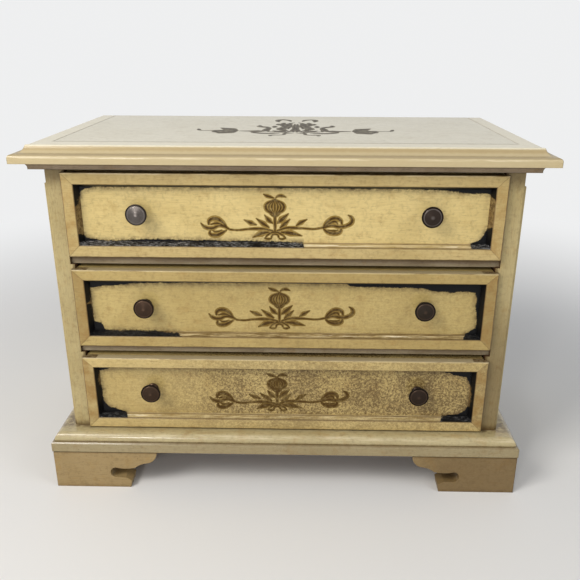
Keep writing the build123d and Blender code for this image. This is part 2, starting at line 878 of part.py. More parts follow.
def spur(radius, count, length):
    """A small pinion along +z, with its first tooth along +x."""
    pitch = tooth_pitch(radius, count)
    root = radius - tooth_height / 2 - mesh_clearance
    tip = radius + tooth_height / 2 - mesh_clearance
    body = Pos(0, 0, length / 2) * Cylinder(root, length)
    wide, narrow = pitch * tooth_root_share, pitch * tooth_tip_share
    outline = Polyline((root / 2, -wide), (tip, -narrow), (tip, narrow), (root / 2, wide), close=True)
    tooth = extrude(make_face(outline), amount=length)
    for index in range(count):
        body += Rot(0, 0, 360 / count * index) * tooth
    return body


def crown(radius, count):
    """A ring of face teeth along +z, with a gap along +x, to lie on a wheel's face."""
    pitch = tooth_pitch(radius, count)
    low, high = radius - tooth_face / 2, radius + tooth_face / 2
    wide, narrow = pitch * tooth_root_share, pitch * tooth_tip_share
    base = Polyline((-wide, 0), (wide, 0), (narrow, tooth_height), (-narrow, tooth_height), close=True)
    tooth = Plane(origin=(low, 0, 0), x_dir=(0, 1, 0), z_dir=(1, 0, 0)) * make_face(base)
    tooth = extrude(tooth, amount=high - low, dir=(1, 0, 0))
    return [Rot(0, 0, 360 / count * (index + 0.5)) * tooth for index in range(count)]


def pinion_radius():
    """Pitch radius of the cylinder's pinion."""
    return crown_radius * pinion_teeth / crown_teeth


def barrel_front():
    """y of the barrel's front face, where its face teeth begin."""
    return back_inside - plate_thickness - barrel_gap - barrel_length


def cylinder_y():
    """y of the cylinder's shaft, so that its pinion meshes with the barrel's teeth."""
    return barrel_front() - tooth_height / 2 - pinion_radius()


def movement_xs():
    """x places along the movement: pinion, first bracket, cylinder, second bracket, end wheel."""
    pinion = (movement_x + crown_radius - tooth_face / 2, movement_x + crown_radius + tooth_face / 2)
    first = (pinion[1] + bracket_gap, pinion[1] + bracket_gap + bracket_thickness)
    cylinder = (first[1] + bracket_gap, first[1] + bracket_gap + cylinder_length)
    second = (cylinder[1] + bracket_gap, cylinder[1] + bracket_gap + bracket_thickness)
    wheel = (second[1] + bracket_gap, second[1] + bracket_gap + bracket_thickness)
    return pinion, first, cylinder, second, wheel


def end_crown_radius():
    """Pitch radius of the face teeth on the cylinder's end wheel."""
    return tooth_pitch(crown_radius, crown_teeth) * end_crown_teeth / (2 * pi)


def fly_pinion_radius():
    """Pitch radius of the fly's pinion."""
    return end_crown_radius() * fly_pinion_teeth / end_crown_teeth


def fly_x():
    """x of the fly's upright shaft."""
    wheel = movement_xs()[4]
    return wheel[1] + tooth_height / 2 + fly_pinion_radius()


def fly_levels():
    """Low and high z of the fly's pinion, and of its blades."""
    level = movement_z + end_crown_radius()
    pinion = (level - tooth_face / 2, level + tooth_face / 2)
    blades = (pinion[1] + bracket_gap, pinion[1] + bracket_gap + fly_height)
    return pinion, blades


def plunger_place():
    """x and y of the stop plunger, just outside the fly's sweep."""
    return fly_x() + fly_radius + plunger_gap + plunger_radius, cylinder_y()


def plunger_bore():
    """The plunger's way through the tray."""
    x, y = plunger_place()
    radius = plunger_radius + plunger_clearance
    return rod(radius, rim_height - tray_floor_bottom, (x, y, tray_floor_bottom), (0, 0, 1))


def movement_screw_places():
    """x and z of the screws that hold the movement's plate to the back."""
    z = plate_height / 2 - movement_screw_head_radius
    left = movement_x - plate_left + movement_screw_head_radius
    right = movement_x + plate_right - movement_screw_head_radius
    return [(left, movement_z - z), (left, movement_z + z), (right, movement_z - z)]


def movement_plate():
    """The cast plate, with the cylinder's brackets and the fly's two arms."""
    front = back_inside - plate_thickness
    z = (movement_z - plate_height / 2, movement_z + plate_height / 2)
    plate = block((movement_x - plate_left, movement_x + plate_right), (front, back_inside), z)
    axis_y = cylinder_y()
    pinion, first, cylinder, second, wheel = movement_xs()
    arm_y = (axis_y - bracket_half_height, front)
    arm_z = (movement_z - bracket_half_height, movement_z + bracket_half_height)
    for x in (first, second):
        plate += block(x, arm_y, arm_z)
    fly_arm_x = (fly_x() - fly_arm_half_width + bracket_gap, fly_x() + fly_arm_half_width)
    for low in fly_arm_levels():
        plate += block(fly_arm_x, (axis_y - fly_arm_half_width, front), (low, low + fly_arm_thickness))
    comb_y = (comb_back_y(), front)
    comb_z = comb_levels()
    plate += block(cylinder, comb_y, (comb_z[0], comb_z[1] - comb_tooth_length))
    shaft = cylinder_shaft_radius + shaft_clearance
    plate -= rod(shaft, wheel[1] - pinion[0], (pinion[0], axis_y, movement_z), (1, 0, 0))
    fly_low = fly_arm_levels()[0]
    fly_reach = fly_arm_levels()[1] + fly_arm_thickness - fly_low
    plate -= rod(shaft, fly_reach, (fly_x(), axis_y, fly_low), (0, 0, 1))
    plate -= rod(arbor_radius + shaft_clearance, plate_thickness, (movement_x, front, movement_z), (0, 1, 0))
    for x, height in movement_screw_places():
        plate -= rod(movement_screw_radius + screw_clearance, plate_thickness, (x, front, height), (0, 1, 0))
    comb_screw_z = (comb_z[0] + comb_z[1] - comb_tooth_length) / 2
    for x in comb_screw_xs():
        place = (x, comb_back_y(), comb_screw_z)
        plate -= rod(movement_screw_radius / 2 + screw_clearance, screw_depth, place, (0, 1, 0))
    return plate


def fly_arm_levels():
    """Low z of the fly's lower and upper arm."""
    pinion, blades = fly_levels()
    return pinion[0] - bracket_gap - fly_arm_thickness, blades[1] + fly_arm_gap


def comb_levels():
    """Low and high z of the comb, whose tips stand just clear of the cylinder's pins."""
    high = movement_z - cylinder_radius - pin_height - comb_gap
    return movement_z - plate_height / 2, high


def comb_back_y():
    """y of the comb's back face, so that its teeth point at the cylinder's axis."""
    return cylinder_y() + comb_thickness / 2


def comb_screw_xs():
    """x of the two screws that hold the comb."""
    cylinder = movement_xs()[2]
    quarter = cylinder_length / 4
    return (cylinder[0] + quarter, cylinder[1] - quarter)


def comb():
    """The steel comb: one tooth for each note, and its two screws."""
    cylinder = movement_xs()[2]
    low, high = comb_levels()
    y = (comb_back_y() - comb_thickness, comb_back_y())
    plate = block(cylinder, y, (low, high))
    pitch = cylinder_length / note_count
    for index in range(1, note_count):
        x = cylinder[0] + pitch * index
        plate -= block((x - comb_slit / 2, x + comb_slit / 2), y, (high - comb_tooth_length, high))
    screws = []
    z = (low + high - comb_tooth_length) / 2
    for x in comb_screw_xs():
        place = (x, y[0], z)
        plate -= rod(movement_screw_radius / 2 + screw_clearance, comb_thickness, place, (0, 1, 0))
        head = rod(movement_screw_radius, movement_screw_radius / 2, place, (0, -1, 0))
        screws.append(head + rod(movement_screw_radius / 2, screw_depth - screw_end_gap, place, (0, 1, 0)))
    return [plate] + screws


def spring_barrel():
    """The spring's drum, with face teeth towards the cylinder's pinion."""
    front = barrel_front()
    place = (movement_x, front + barrel_length, movement_z)
    drum = rod(barrel_radius, barrel_length, place, (0, -1, 0))
    for tooth in crown(crown_radius, crown_teeth):
        drum += facing_front(movement_x, front, movement_z) * tooth
    return drum - rod(arbor_radius + shaft_clearance, barrel_length, place, (0, -1, 0))


def winding_key():
    """The winding key outside the back, on the arbor of the spring."""
    start = barrel_front()
    hub_start = case_depth + key_hub_gap
    key = rod(arbor_radius, hub_start - start, (movement_x, start, movement_z), (0, 1, 0))
    key += rod(key_hub_radius, key_hub_length, (movement_x, hub_start, movement_z), (0, 1, 0))
    wing_start = hub_start + key_hub_length - key_hub_radius
    wing = Pos(0, key_wing_length / 2, 0) * Rectangle(key_wing_span, key_wing_length)
    wing = fillet(wing.vertices(), key_wing_length / 3)
    for side in (-1, 1):
        wing -= Pos(side * key_wing_span / 4, key_wing_length / 2, 0) * Circle(key_wing_hole)
    plate = extrude(wing, amount=key_wing_thickness / 2, both=True)
    return key + Pos(movement_x, wing_start, movement_z) * plate


def pinned_cylinder():
    """The brass cylinder with its pins, its pinion and the end wheel, on one shaft."""
    pinion, first, cylinder, second, wheel = movement_xs()
    y = cylinder_y()
    body = rod(cylinder_shaft_radius, wheel[1] - pinion[0], (pinion[0], y, movement_z), (1, 0, 0))
    body += rod(cylinder_radius, cylinder_length, (cylinder[0], y, movement_z), (1, 0, 0))
    towards_barrel = Plane(origin=(pinion[0], y, movement_z), x_dir=(0, 1, 0), z_dir=(1, 0, 0))
    body += towards_barrel * spur(pinion_radius(), pinion_teeth, tooth_face)
    outer = end_crown_radius() + tooth_face / 2
    body += rod(outer, bracket_thickness, (wheel[0], y, movement_z), (1, 0, 0))
    upwards = Plane(origin=(wheel[1], y, movement_z), x_dir=(0, 0, 1), z_dir=(1, 0, 0))
    for tooth in crown(end_crown_radius(), end_crown_teeth):
        body += upwards * tooth
    pitch = cylinder_length / note_count
    for index in range(note_count * 2):
        note = index % note_count
        angle = 360 * pin_turns * index / (note_count * 2) + 360 / note_count / 4
        x = cylinder[0] + pitch * (note + 0.5)
        direction = (0, cos(radians(angle)), sin(radians(angle)))
        body += rod(pin_radius, cylinder_radius + pin_height, (x, y, movement_z), direction)
    return body


def fly():
    """The air brake: an upright shaft with its pinion and two blades."""
    pinion, blades = fly_levels()
    low = fly_arm_levels()[0]
    high = fly_arm_levels()[1] + fly_arm_thickness
    x, y = fly_x(), cylinder_y()
    body = rod(cylinder_shaft_radius, high - low, (x, y, low), (0, 0, 1))
    towards_wheel = Plane(origin=(x, y, pinion[0]), x_dir=(-1, 0, 0), z_dir=(0, 0, 1))
    body += towards_wheel * spur(fly_pinion_radius(), fly_pinion_teeth, tooth_face)
    half = fly_blade / 2
    return body + block((x - fly_radius, x + fly_radius), (y - half, y + half), blades)


def stop_plunger():
    """The pin that the lid presses down to stop the music, beside the fly."""
    x, y = plunger_place()
    top = lid_underside - bumper_clearance
    low = fly_levels()[1][0]
    pin = rod(plunger_radius, top - low, (x, y, low), (0, 0, 1))
    return pin + rod(plunger_head_radius, plunger_head_height, (x, y, top - plunger_head_height), (0, 0, 1))


def movement_screws():
    """The screws from outside the back into the movement's plate."""
    screws = []
    for x, z in movement_screw_places():
        place = (x, case_depth, z)
        length = back_thickness + plate_thickness
        shank = rod(movement_screw_radius, length, place, (0, -1, 0))
        screws.append(shank + rod(movement_screw_head_radius, movement_screw_head_height, place, (0, 1, 0)))
    return screws


def write_case():
    """The fixed woodwork of the chest."""
    bores = screw_bores(hinge_levels()[0])
    side_right, side_left = both_sides(case_side())
    save("case_side_right", side_right)
    save("case_side_left", side_left)
    save("case_bottom", bottom_board())
    save("upper_divider", divider(0))
    save("lower_divider", divider(1))
    save("back_panel", back_panel() - bores)
    frame_right = side_frame()
    save("side_frame_right", frame_right)
    save("side_frame_left", [mirror(piece, about=Plane.YZ) for piece in frame_right])
    across, sides = mitred_run(plinth_profile(), half_case, 0, case_depth)
    save("plinth_front", across)
    save("plinth_sides", sides)
    for name, pieces in (("front_foot", front_foot()), ("back_foot", back_foot())):
        save(name + "_right", pieces)
        save(name + "_left", [mirror(piece, about=Plane.YZ) for piece in pieces])
    save("tray_floor", tray_floor())
    save("tray_front_rail", tray_rail())
    save("tray_insert", tray_insert())
    save("ring_rolls", ring_rolls())
    save("lid_bumpers", bumpers())


def write_lid():
    """The lid, its mirror and both hinges."""
    bores = screw_bores(hinge_levels()[1])
    across, sides = lid_mouldings()
    save("lid_panel", lid_panel() - bores)
    save("lid_moulding_front", across)
    save("lid_moulding_sides", sides)
    save("lid_bed_moulding", bed_mouldings())
    save("mirror_frame", mirror_frame())
    save("mirror_glass", mirror_rebate())
    case_levels, lid_levels = hinge_levels()
    save("hinge_case_leaves", at_hinges([knuckles(0, hinge_leaf(*case_levels))]))
    save("hinge_lid_leaves", at_hinges([knuckles(1, hinge_leaf(*lid_levels))]))
    save("hinge_pins", at_hinges([hinge_pin()]))
    save("hinge_case_screws", at_hinges(hinge_screws(*case_levels)))
    save("hinge_lid_screws", at_hinges(hinge_screws(*lid_levels)))


def write_drawer(row):
    """One drawer, counted from the top."""
    name = "drawer_%d_" % (row + 1)
    save(name + "front", drawer_front(row))
    save(name + "frame", drawer_frame(row))
    save(name + "sides", drawer_sides(row))
    save(name + "back", drawer_back(row))
    save(name + "bottom", drawer_bottom(row))
    save(name + "lining", drawer_lining(row))
    save(name + "knobs", drawer_knobs(row))


def write_movement():
    """The music movement, its key and its stop."""
    save("movement_plate", movement_plate())
    save("movement_screws", movement_screws())
    save("spring_barrel", spring_barrel())
    save("winding_key", winding_key())
    save("pinned_cylinder", pinned_cylinder())
    save("comb", comb())
    save("governor_fly", fly())
    save("stop_plunger", stop_plunger())


os.makedirs("parts", exist_ok=True)
write_case()
write_lid()
for drawer_row in range(drawer_count):
    write_drawer(drawer_row)
write_movement()
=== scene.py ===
import json
import math

import bmesh
import bpy
from bpy.props import FloatProperty, FloatVectorProperty, PointerProperty
from mathutils import Matrix, Vector


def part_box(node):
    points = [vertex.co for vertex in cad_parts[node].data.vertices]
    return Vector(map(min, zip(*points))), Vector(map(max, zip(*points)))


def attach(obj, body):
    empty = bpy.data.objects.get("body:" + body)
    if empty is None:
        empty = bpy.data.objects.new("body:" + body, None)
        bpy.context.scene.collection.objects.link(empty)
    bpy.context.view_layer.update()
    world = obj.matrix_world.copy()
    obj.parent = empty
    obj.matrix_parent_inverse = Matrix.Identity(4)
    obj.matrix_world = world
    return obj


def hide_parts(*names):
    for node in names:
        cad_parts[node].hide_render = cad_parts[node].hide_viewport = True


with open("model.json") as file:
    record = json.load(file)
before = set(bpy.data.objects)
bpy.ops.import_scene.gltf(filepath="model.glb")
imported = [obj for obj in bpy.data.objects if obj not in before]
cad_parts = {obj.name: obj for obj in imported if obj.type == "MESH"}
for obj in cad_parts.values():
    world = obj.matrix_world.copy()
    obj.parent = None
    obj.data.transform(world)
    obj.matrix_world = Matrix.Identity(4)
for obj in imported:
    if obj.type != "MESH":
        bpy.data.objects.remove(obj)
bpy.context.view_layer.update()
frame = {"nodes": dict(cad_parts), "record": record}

bl_info = {
    "name": "Musical jewellery box",
    "version": (1, 0, 0),
    "blender": (4, 5, 0),
    "location": "3D View > Sidebar > Jewellery Box",
    "description": "Finishes a painted musical chest: paint, stencils, velvet and brass",
    "category": "Object",
}

NODES = frame["nodes"]
MM = 0.001
DRAWERS = (1, 2, 3)

# Places read from the loaded frame, in millimetres
CASE_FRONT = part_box("case_side_left")[0].y / MM
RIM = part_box("case_side_right")[1].z / MM
OPENING_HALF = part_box("case_bottom")[1].x / MM
PLINTH_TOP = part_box("plinth_front")[1].z / MM
FOOT_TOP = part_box("front_foot_left")[1].z / MM
LID_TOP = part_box("lid_panel")[1].z / MM
PANEL_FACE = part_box("drawer_1_front")[0].y / MM

# Places that only the paint uses, in millimetres
PROFILE_LOW, PROFILE_SPAN = -4.0, 16.0
FRAME_BEVEL = 2.1
RECESS_X, RECESS_Z = 118.6, 16.2
JOINT_HALF, JOINT_FRONT = 133.8, -64.9
PLINTH_BAND = 7.2
LID_COVE, LID_QUIRK, LID_BEAD = 1.9, 4.5, 5.7
LEDGE_LINE = 1.1
KNOB_RADIUS = 6.2

# Sizes of the pieces that are modelled here, in metres
INSERT_WALL = 1.5 * MM
INSERT_FLOOR = 1 * MM
RING_BAY = 88 * MM
TRAY_DIVIDER = 3 * MM
TRAY_LEDGE = 24 * MM
PLUNGER_HOLE = 1.6 * MM
LINING = 0.8 * MM
FELT_RADIUS = 2.6 * MM
FELT_SOFTNESS = 0.25 * MM
ROLLS = 9
ROLL_GAP = 0.5 * MM
ROLL_SIDES = 32
ROLL_CUTS = 28
ROLL_STRAIGHT = 0.86
SEWN_FROM = 0.47
STUFFING = 0.2 * MM
CLOTH_FRAMES = 12
FLOOR_RADIUS = 1.5
FLOOR_BEND = 0.5
FLOOR_STEPS = 10
SHARP = math.radians(40)

# The photograph's camera, fitted to corners of the box: turns in degrees, place in metres
CAMERA_TURN = (21.027, -0.993, 0.241)
CAMERA_PLACE = (0.01441, -0.45944, 0.2792)
CAMERA_SHIFT = (-0.0122, 0.01078)
WHITE = (0.86, 0.865, 0.87)

# Pale cream of the lid's border, and painted light: highlights on the beads, ledges and arrises,
# glints on the ledges and shade on the frames' top faces
BORDER_CREAM = (0.84, 0.76, 0.56)
LID_BEAD_HIGHLIGHT = (0.78, 0.68, 0.46)
PLINTH_BEAD_HIGHLIGHT = (0.76, 0.66, 0.44)
LEDGE_HIGHLIGHT = (0.74, 0.62, 0.38)
FRAME_TOP_SHADE = (0.46, 0.4, 0.27)
ARRIS_HIGHLIGHT = (0.8, 0.67, 0.4)
PAINTED_GLINT = (0.95, 0.86, 0.64)

# How a paint is brushed: stretch of its streaks along x, y and z
UPRIGHT = (3, 3, 0.15)
LENGTHWISE = (0.15, 1, 3)
MOULDED = (0.15, 0.6, 3)
LID_BRUSHED = (0.15, 2, 2)

# Metal that shows on the left and the right knob of each drawer; the top drawer's pale left
# knob is partly worn metal and partly a painted reflection
KNOB_WEAR_AND_REFLECTION = {
    1: ((0.12, 0.105, 0.095), (0.04, 0.028, 0.022)),
    2: ((0.056, 0.033, 0.021), (0.036, 0.027, 0.02)),
    3: ((0.05, 0.03, 0.019), (0.034, 0.022, 0.016)),
}
# Each drawer's cream, darker on the lower drawers partly in the paint and partly as painted shade,
# how much paler its frame is, how glazed its ledge, how scuffed its black with painted sheen on
# the scuffs, and how sandy its glaze; the frame is less sandy
DRAWER_TONE_AND_SHADE = {1: (1, 1, 1), 2: (0.77, 0.745, 0.665), 3: (0.82, 0.79, 0.73)}
FRAME_TONE = {1: (1, 1, 1.06), 2: (1.11, 1.11, 1.13), 3: (1.34, 1.4, 1.58)}
LEDGE_GLAZE = {1: 0.25, 2: 0.8, 3: 0.35}
SCUFF_AND_SHEEN = {1: 0.9, 2: 0.12, 3: 0.3}
SAND = {1: 0.0, 2: 0.16, 3: 0.86}
FRAME_SAND = 0.55

# Black brushwork: pairs of place along a side of the recess and reach in from it, in mm.
# A reach of -4 is none, and 0 is the frame's bevel alone.
BRUSHWORK = {
    1: {
        "top": ((-118, 3), (-115, 1.2), (-110, 0.2), (-60, 0), (46, 0), (84, 0.4), (96, 1.2),
                (104, 2.2), (112, 2.6), (118, 2.8)),
        "bottom": ((-118, 2), (-112, 0.6), (-104, 0), (-92, 1), (-76, 1.2), (-45, 0.7),
                   (-10, 0.5), (9, 0.2), (11.5, 0), (12.5, -4), (109, -4), (111, 0), (114, 0.8),
                   (117, 3), (118.5, 6)),
        "left": ((-16, 2.2), (-13, 0.4), (-11.5, -1), (-10.5, -4), (4, -4), (6, -1), (12, 0),
                 (16, 2)),
        "right": ((-16, 9), (-14.4, 4.6), (-12.4, 2), (-9, 0.6), (-6, -0.6), (-4, -3), (10, -3),
                  (12.4, 0), (16, 2.6)),
    },
    2: {
        "top": ((-118, 4), (-110, 2.8), (-100, 2.2), (-92, 1.2), (-76, 0.5), (-30, 0), (37.5, 0),
                (39.5, 1.6), (60, 2), (84, 2.6), (90, 4), (102, 5), (106, 4.2), (118, 5)),
        "bottom": ((-118, 5), (-113.5, 5), (-112.3, 0.6), (-80, 0), (-66, -0.6), (-60, -4),
                   (108, -4), (112, 0.5), (118, 4)),
        "left": ((-16, 5), (-13, 5), (-11.4, 3.4), (-10, 0.2), (2, -0.3), (3, -2), (4, -0.3),
                 (16, 0.4)),
        "right": ((-16, 4), (-13.5, 0.6), (-8, 0.2), (-2, 1), (3, 1.9), (5, 1.5), (7, 1.7),
                  (12, 2.8), (16, 4)),
    },
    3: {
        "top": ((-118, 2.6), (-112, 0.6), (-104, 0), (-60, -0.6), (-50, -1), (60, -1), (88, 0),
                (104, 1), (108, 3), (118, 4.6)),
        "bottom": ((-118, 5), (-112, 3.2), (-107, 1.2), (-103, 0), (-101, -4), (99, -4), (102, 0),
                   (108, 0.6), (113, 1.4), (118, 5)),
        "left": ((-16, 7), (-12.5, 3.8), (-9, 1.2), (-4, 0.2), (0, 0.8), (4, -0.4), (9, -0.5),
                 (16, 0.6)),
        "right": ((-16, 5), (-12.5, 1.8), (-9, 0), (-4, -0.8), (5, -0.5), (8, 0.6), (11, 2.6),
                  (16, 4)),
    },
}

# Strokes of the drawers' stencil: millimetres from the foot of its middle stem, half width
DRAWER_SPRAY = (
    ((0, 8.2, 0.6), (0, 4, 0.75), (0, -0.8, 0.45)),
    ((0, 18.6, 0.3), (-5.3, 14, 0.95), (0, 8.8, 0.4)),
    ((0, 18.6, 0.3), (5.3, 14, 0.95), (0, 8.8, 0.4)),
    ((0, 18.2, 0.2), (-3.5, 14, 0.65), (-0.3, 9.2, 0.2)),
    ((0, 18.2, 0.2), (3.5, 14, 0.65), (0.3, 9.2, 0.2)),
    ((-0.4, 17.6, 0.2), (-1.8, 14, 0.6), (-0.4, 9.8, 0.2)),
    ((0.4, 17.6, 0.2), (1.8, 14, 0.6), (0.4, 9.8, 0.2)),
    ((0, 17.4, 0.2), (0, 14, 0.62), (0, 10, 0.2)),
    ((-3.2, 9.9, 0.2), (0, 8.4, 0.7), (3.2, 9.9, 0.2)),
    ((-0.2, 19, 0.2), (-2.6, 19.8, 0.7), (-4.6, 20.4, 0.75), (-6.8, 21.5, 0.15)),
    ((0.2, 19, 0.2), (2, 20.3, 0.6), (4.2, 20.5, 0.75), (6.8, 19.6, 0.15)),
    ((-1.2, 4, 0.3), (-3.6, 6, 1.15), (-6.2, 9.3, 0.15)),
    ((1.2, 4, 0.3), (4, 6.4, 1.45), (8.2, 10.2, 0.15)),
    ((-3.2, 1.4, 0.3), (-6.8, 3.8, 1.15), (-11.2, 7.2, 0.15)),
    ((2.8, 1.2, 0.3), (5.6, 3.8, 1.15), (9, 6.8, 0.15)),
    ((-10.6, 3, 0.25), (-14, 4.2, 1.1), (-18.4, 6.2, 0.15)),
    ((12.2, 2.6, 0.25), (15, 4.6, 1.05), (19, 6.8, 0.15)),
    ((-3.2, -1.2, 0.35), (-8, -2, 1.45), (-13.4, -4.6, 0.2)),
    ((3.2, -1.2, 0.35), (9, -1.7, 1.4), (16.2, -3.4, 0.2)),
    ((-5.8, -4.7, 0.3), (-4.2, -2.8, 0.55), (0, -1.2, 0.5), (4.2, -2.8, 0.55), (6.2, -4.7, 0.3)),
    ((-2.2, -4.6, 0.4), (-1.6, -3, 0.5), (0, -2.4, 0.5), (1.6, -3, 0.5), (2.2, -4.6, 0.4)),
    ((-6.4, -4.9, 0.3), (-4, -5.4, 0.55), (-1.8, -5, 0.3)),
    ((6.6, -4.7, 0.3), (4.2, -5.4, 0.55), (2, -5, 0.3)),
    ((-1, -0.6, 0.5), (-6, 0.6, 0.55), (-10, 0.8, 0.75), (-16, 0.5, 0.5), (-22, -0.2, 0.45),
     (-27, 0.2, 0.45)),
    ((1, -0.6, 0.5), (6, 1.3, 0.6), (11, 1.5, 0.75), (17, 1.2, 0.45), (23, 0.9, 0.45),
     (28, 1.8, 0.5)),
    ((-27, 0.4, 0.5), (-30.5, 2.2, 0.8), (-33.5, 2.2, 0.6), (-37, 0.8, 0.9), (-41.4, 1.6, 0.8),
     (-43.8, 4.2, 0.2)),
    ((-28, 1, 0.3), (-31, 4.8, 0.9), (-34.8, 6.7, 1.2), (-38.4, 5.6, 0.9), (-39, 2.8, 0.4)),
    ((-29.6, 2.4, 0.2), (-34, 3.9, 0.7), (-38, 3.1, 0.3)),
    ((-28.4, -0.2, 0.3), (-31.5, -2, 0.9), (-35, -3.4, 1.1), (-38.4, -2.4, 0.8),
     (-38.2, -0.4, 0.3)),
    ((-31, -0.1, 0.2), (-34.4, -1.3, 0.55), (-37, -0.6, 0.2)),
    ((28, 1.6, 0.4), (30.6, 5.2, 0.9), (34.6, 7.5, 1), (38.2, 6.4, 0.9), (39.3, 3.6, 0.4)),
    ((28.6, 1.6, 0.3), (32.4, 4.6, 0.8), (35.6, 5.4, 0.7), (36.8, 3.6, 0.3)),
    ((28, 1.4, 0.4), (33, 3, 0.75), (38, 2.4, 0.9), (42.4, 3.2, 0.9), (45.1, 5.6, 1),
     (44.6, 8, 0.8), (42.4, 9.6, 0.15)),
    ((28.4, 1, 0.4), (30.8, -0.8, 0.9), (35, -1.7, 1.1), (38.4, -0.5, 0.9), (38.8, 1.4, 0.35)),
    ((30.6, 0.4, 0.2), (34.6, -0.2, 0.6), (37.4, 0.5, 0.2)),
)
SPRAY_PLACE = {1: (-5.4, -8.9), 2: (-3.1, -8.3), 3: (-4.9, -8.4)}
SPRAY_DEPTH = {1: 0.05, 2: 0.4, 3: 0.75}

# One half of the lid's stencil: millimetres right of its middle and back from its foot, half width
LID_SPRAY_HALF = (
    ((0.9, 36, 0.3), (1.1, 22, 1), (0.8, 10, 1), (1.6, 2, 1.2), (0.9, -6, 0.3)),
    ((1.5, 45, 0.3), (5, 38, 1.1), (6, 30, 1.6), (7.6, 18, 1.9), (9.4, 10, 2.2), (7.6, 3, 1.6),
     (3.4, -2, 0.4)),
    ((4.4, 43, 0.3), (3.9, 36, 0.9), (5.4, 26, 0.9), (6.4, 20, 0.3)),
    ((8.6, 44, 0.5), (9.2, 36, 1.6), (9, 28, 1.4), (7, 20, 0.4)),
    ((12.4, 38, 0.4), (12.2, 32, 1.2), (9.8, 28, 0.5)),
    ((4, 51, 0.3), (7, 60, 1.4), (11, 62, 1.6), (13.5, 54, 1.3), (12.6, 48, 0.3)),
    ((14.4, 26, 0.5), (14.2, 20, 1.4), (14.4, 16, 0.4)),
    ((3, 31, 0.3), (3.4, 24, 0.8), (4.6, 16, 0.8), (5, 9, 0.3)),
    ((1.6, -2, 0.3), (6, -5, 1.4), (12, -5.4, 1.2), (18, -3.4, 0.4)),
    ((24.6, 29, 0.4), (24, 22, 1.6), (20.6, 19, 1.8), (18, 15, 1), (18.6, 8, 1.6), (18.9, 1, 1.7),
     (17, -3, 0.4)),
    ((5.4, -9, 0.3), (9.4, -3.4, 2.6), (14.6, 1.6, 0.4)),
    ((0.8, -10.4, 0.3), (4, -10.2, 1.3), (6.4, -12.6, 0.8), (6.6, -17, 0.6), (9.6, -19.4, 0.7),
     (14.4, -20, 1.1), (14.8, -24, 0.4)),
    ((9.6, -12, 0.4), (15, -12, 1.6), (22, -11, 1.6), (26.6, -7, 1), (24.6, -2, 0.4)),
    ((18.6, -1.6, 0.4), (24, -2, 3.2), (30, -1.4, 1.4), (36, -1, 0.7)),
    ((37.5, -1, 0.6), (43, -8, 3.6), (48.6, -13, 0.8)),
    ((37.5, 0, 0.6), (43.4, 8, 3.4), (49.6, 14, 0.6)),
    ((36.5, 0, 0.6), (42, 0, 3.6), (47, -0.6, 3), (53, 0.4, 1)),
    ((46, -12, 0.4), (50.4, -6, 1.8), (51.6, 0, 1)),
    ((50.6, 0.4, 0.8), (56, 0, 0.6), (61.4, 0.6, 0.6), (63, 5, 0.9), (64, 9, 0.2)),
)
LID_SPRAY_PLACE = (5, 62)

# Leaves and veins are painted wider or narrower than their strokes, as low mounds; veins lie higher
LEAF_WIDTH, LEAF_SPREAD, LEAF_RISE = 1.5, 0.15, 0.02
VEIN_WIDTH, VEIN_RISE, VEIN_LIFT = 0.75, 0.03, 0.03 * MM


def colour_property(name, words, value):
    """A colour that a user can change."""
    return FloatVectorProperty(
        name=name, description=words, subtype="COLOR", size=3, min=0, max=1, default=value
    )


def length_property(name, words, value):
    """A length in metres that a user can change."""
    return FloatProperty(name=name, description=words, unit="LENGTH", precision=5, default=value)


def power_property(name, words, value):
    """A lamp's power in watts that a user can change."""
    return FloatProperty(name=name, description=words, unit="POWER", default=value)


class PaintSettings(bpy.types.PropertyGroup):
    """Colours of the antiqued paint and its ornament."""

    drawer: colour_property("Drawer cream", "Coat of the drawers' panels", (0.68, 0.53, 0.225))
    frame: colour_property("Frame cream", "Coat of the drawers' mitred frames", (0.53, 0.4, 0.16))
    case: colour_property("Case cream", "Cooler coat of the case", (0.465, 0.375, 0.185))
    plinth: colour_property("Plinth cream", "Duller coat of plinth and feet", (0.47, 0.39, 0.21))
    lid: colour_property("Lid cream", "Pale coat of the lid's top", (0.7, 0.65, 0.505))
    moulding: colour_property("Moulding cream", "Warm coat of the lid's edge", (0.5, 0.39, 0.2))
    # The glaze colour also serves as painted shade in places, such as under the lid.
    glaze: colour_property("Glaze", "Brown glaze rubbed into corners", (0.085, 0.045, 0.014))
    amber: colour_property("Amber", "Warm tint of thin glaze", (0.33, 0.185, 0.045))
    # Ebony is also laid as the painted shadow in the gap under the lid.
    ebony_and_gap_shadow: colour_property("Ebony", "Black brushwork in the drawer recesses",
                           (0.003, 0.003, 0.0035))
    # The scuff colour is partly scratches and partly painted highlight streaks on the glossy black.
    scuff_and_sheen: colour_property("Scuff", "Blue-grey scratches in the black", (0.27, 0.265, 0.26))
    leaf: colour_property("Leaf", "Gold-brown of the stencilled leaves", (0.25, 0.155, 0.03))
    vein: colour_property("Vein", "Dark brown of veins and stems", (0.06, 0.029, 0.003))
    lid_leaf: colour_property("Lid leaf", "Grey-brown of the lid's stencil", (0.11, 0.09, 0.055))
    lid_vein: colour_property("Lid vein", "Darker grey-brown of its veins", (0.06, 0.046, 0.028))
    speck_size: length_property("Speck size", "Distance from speck to speck", 1.6 * MM)
    glaze_reach: length_property("Glaze reach", "How far the glaze runs out of a corner", 2.2 * MM)
    edge_softness: length_property("Edge softness", "Rounding that the light sees on edges",
                                   0.6 * MM)


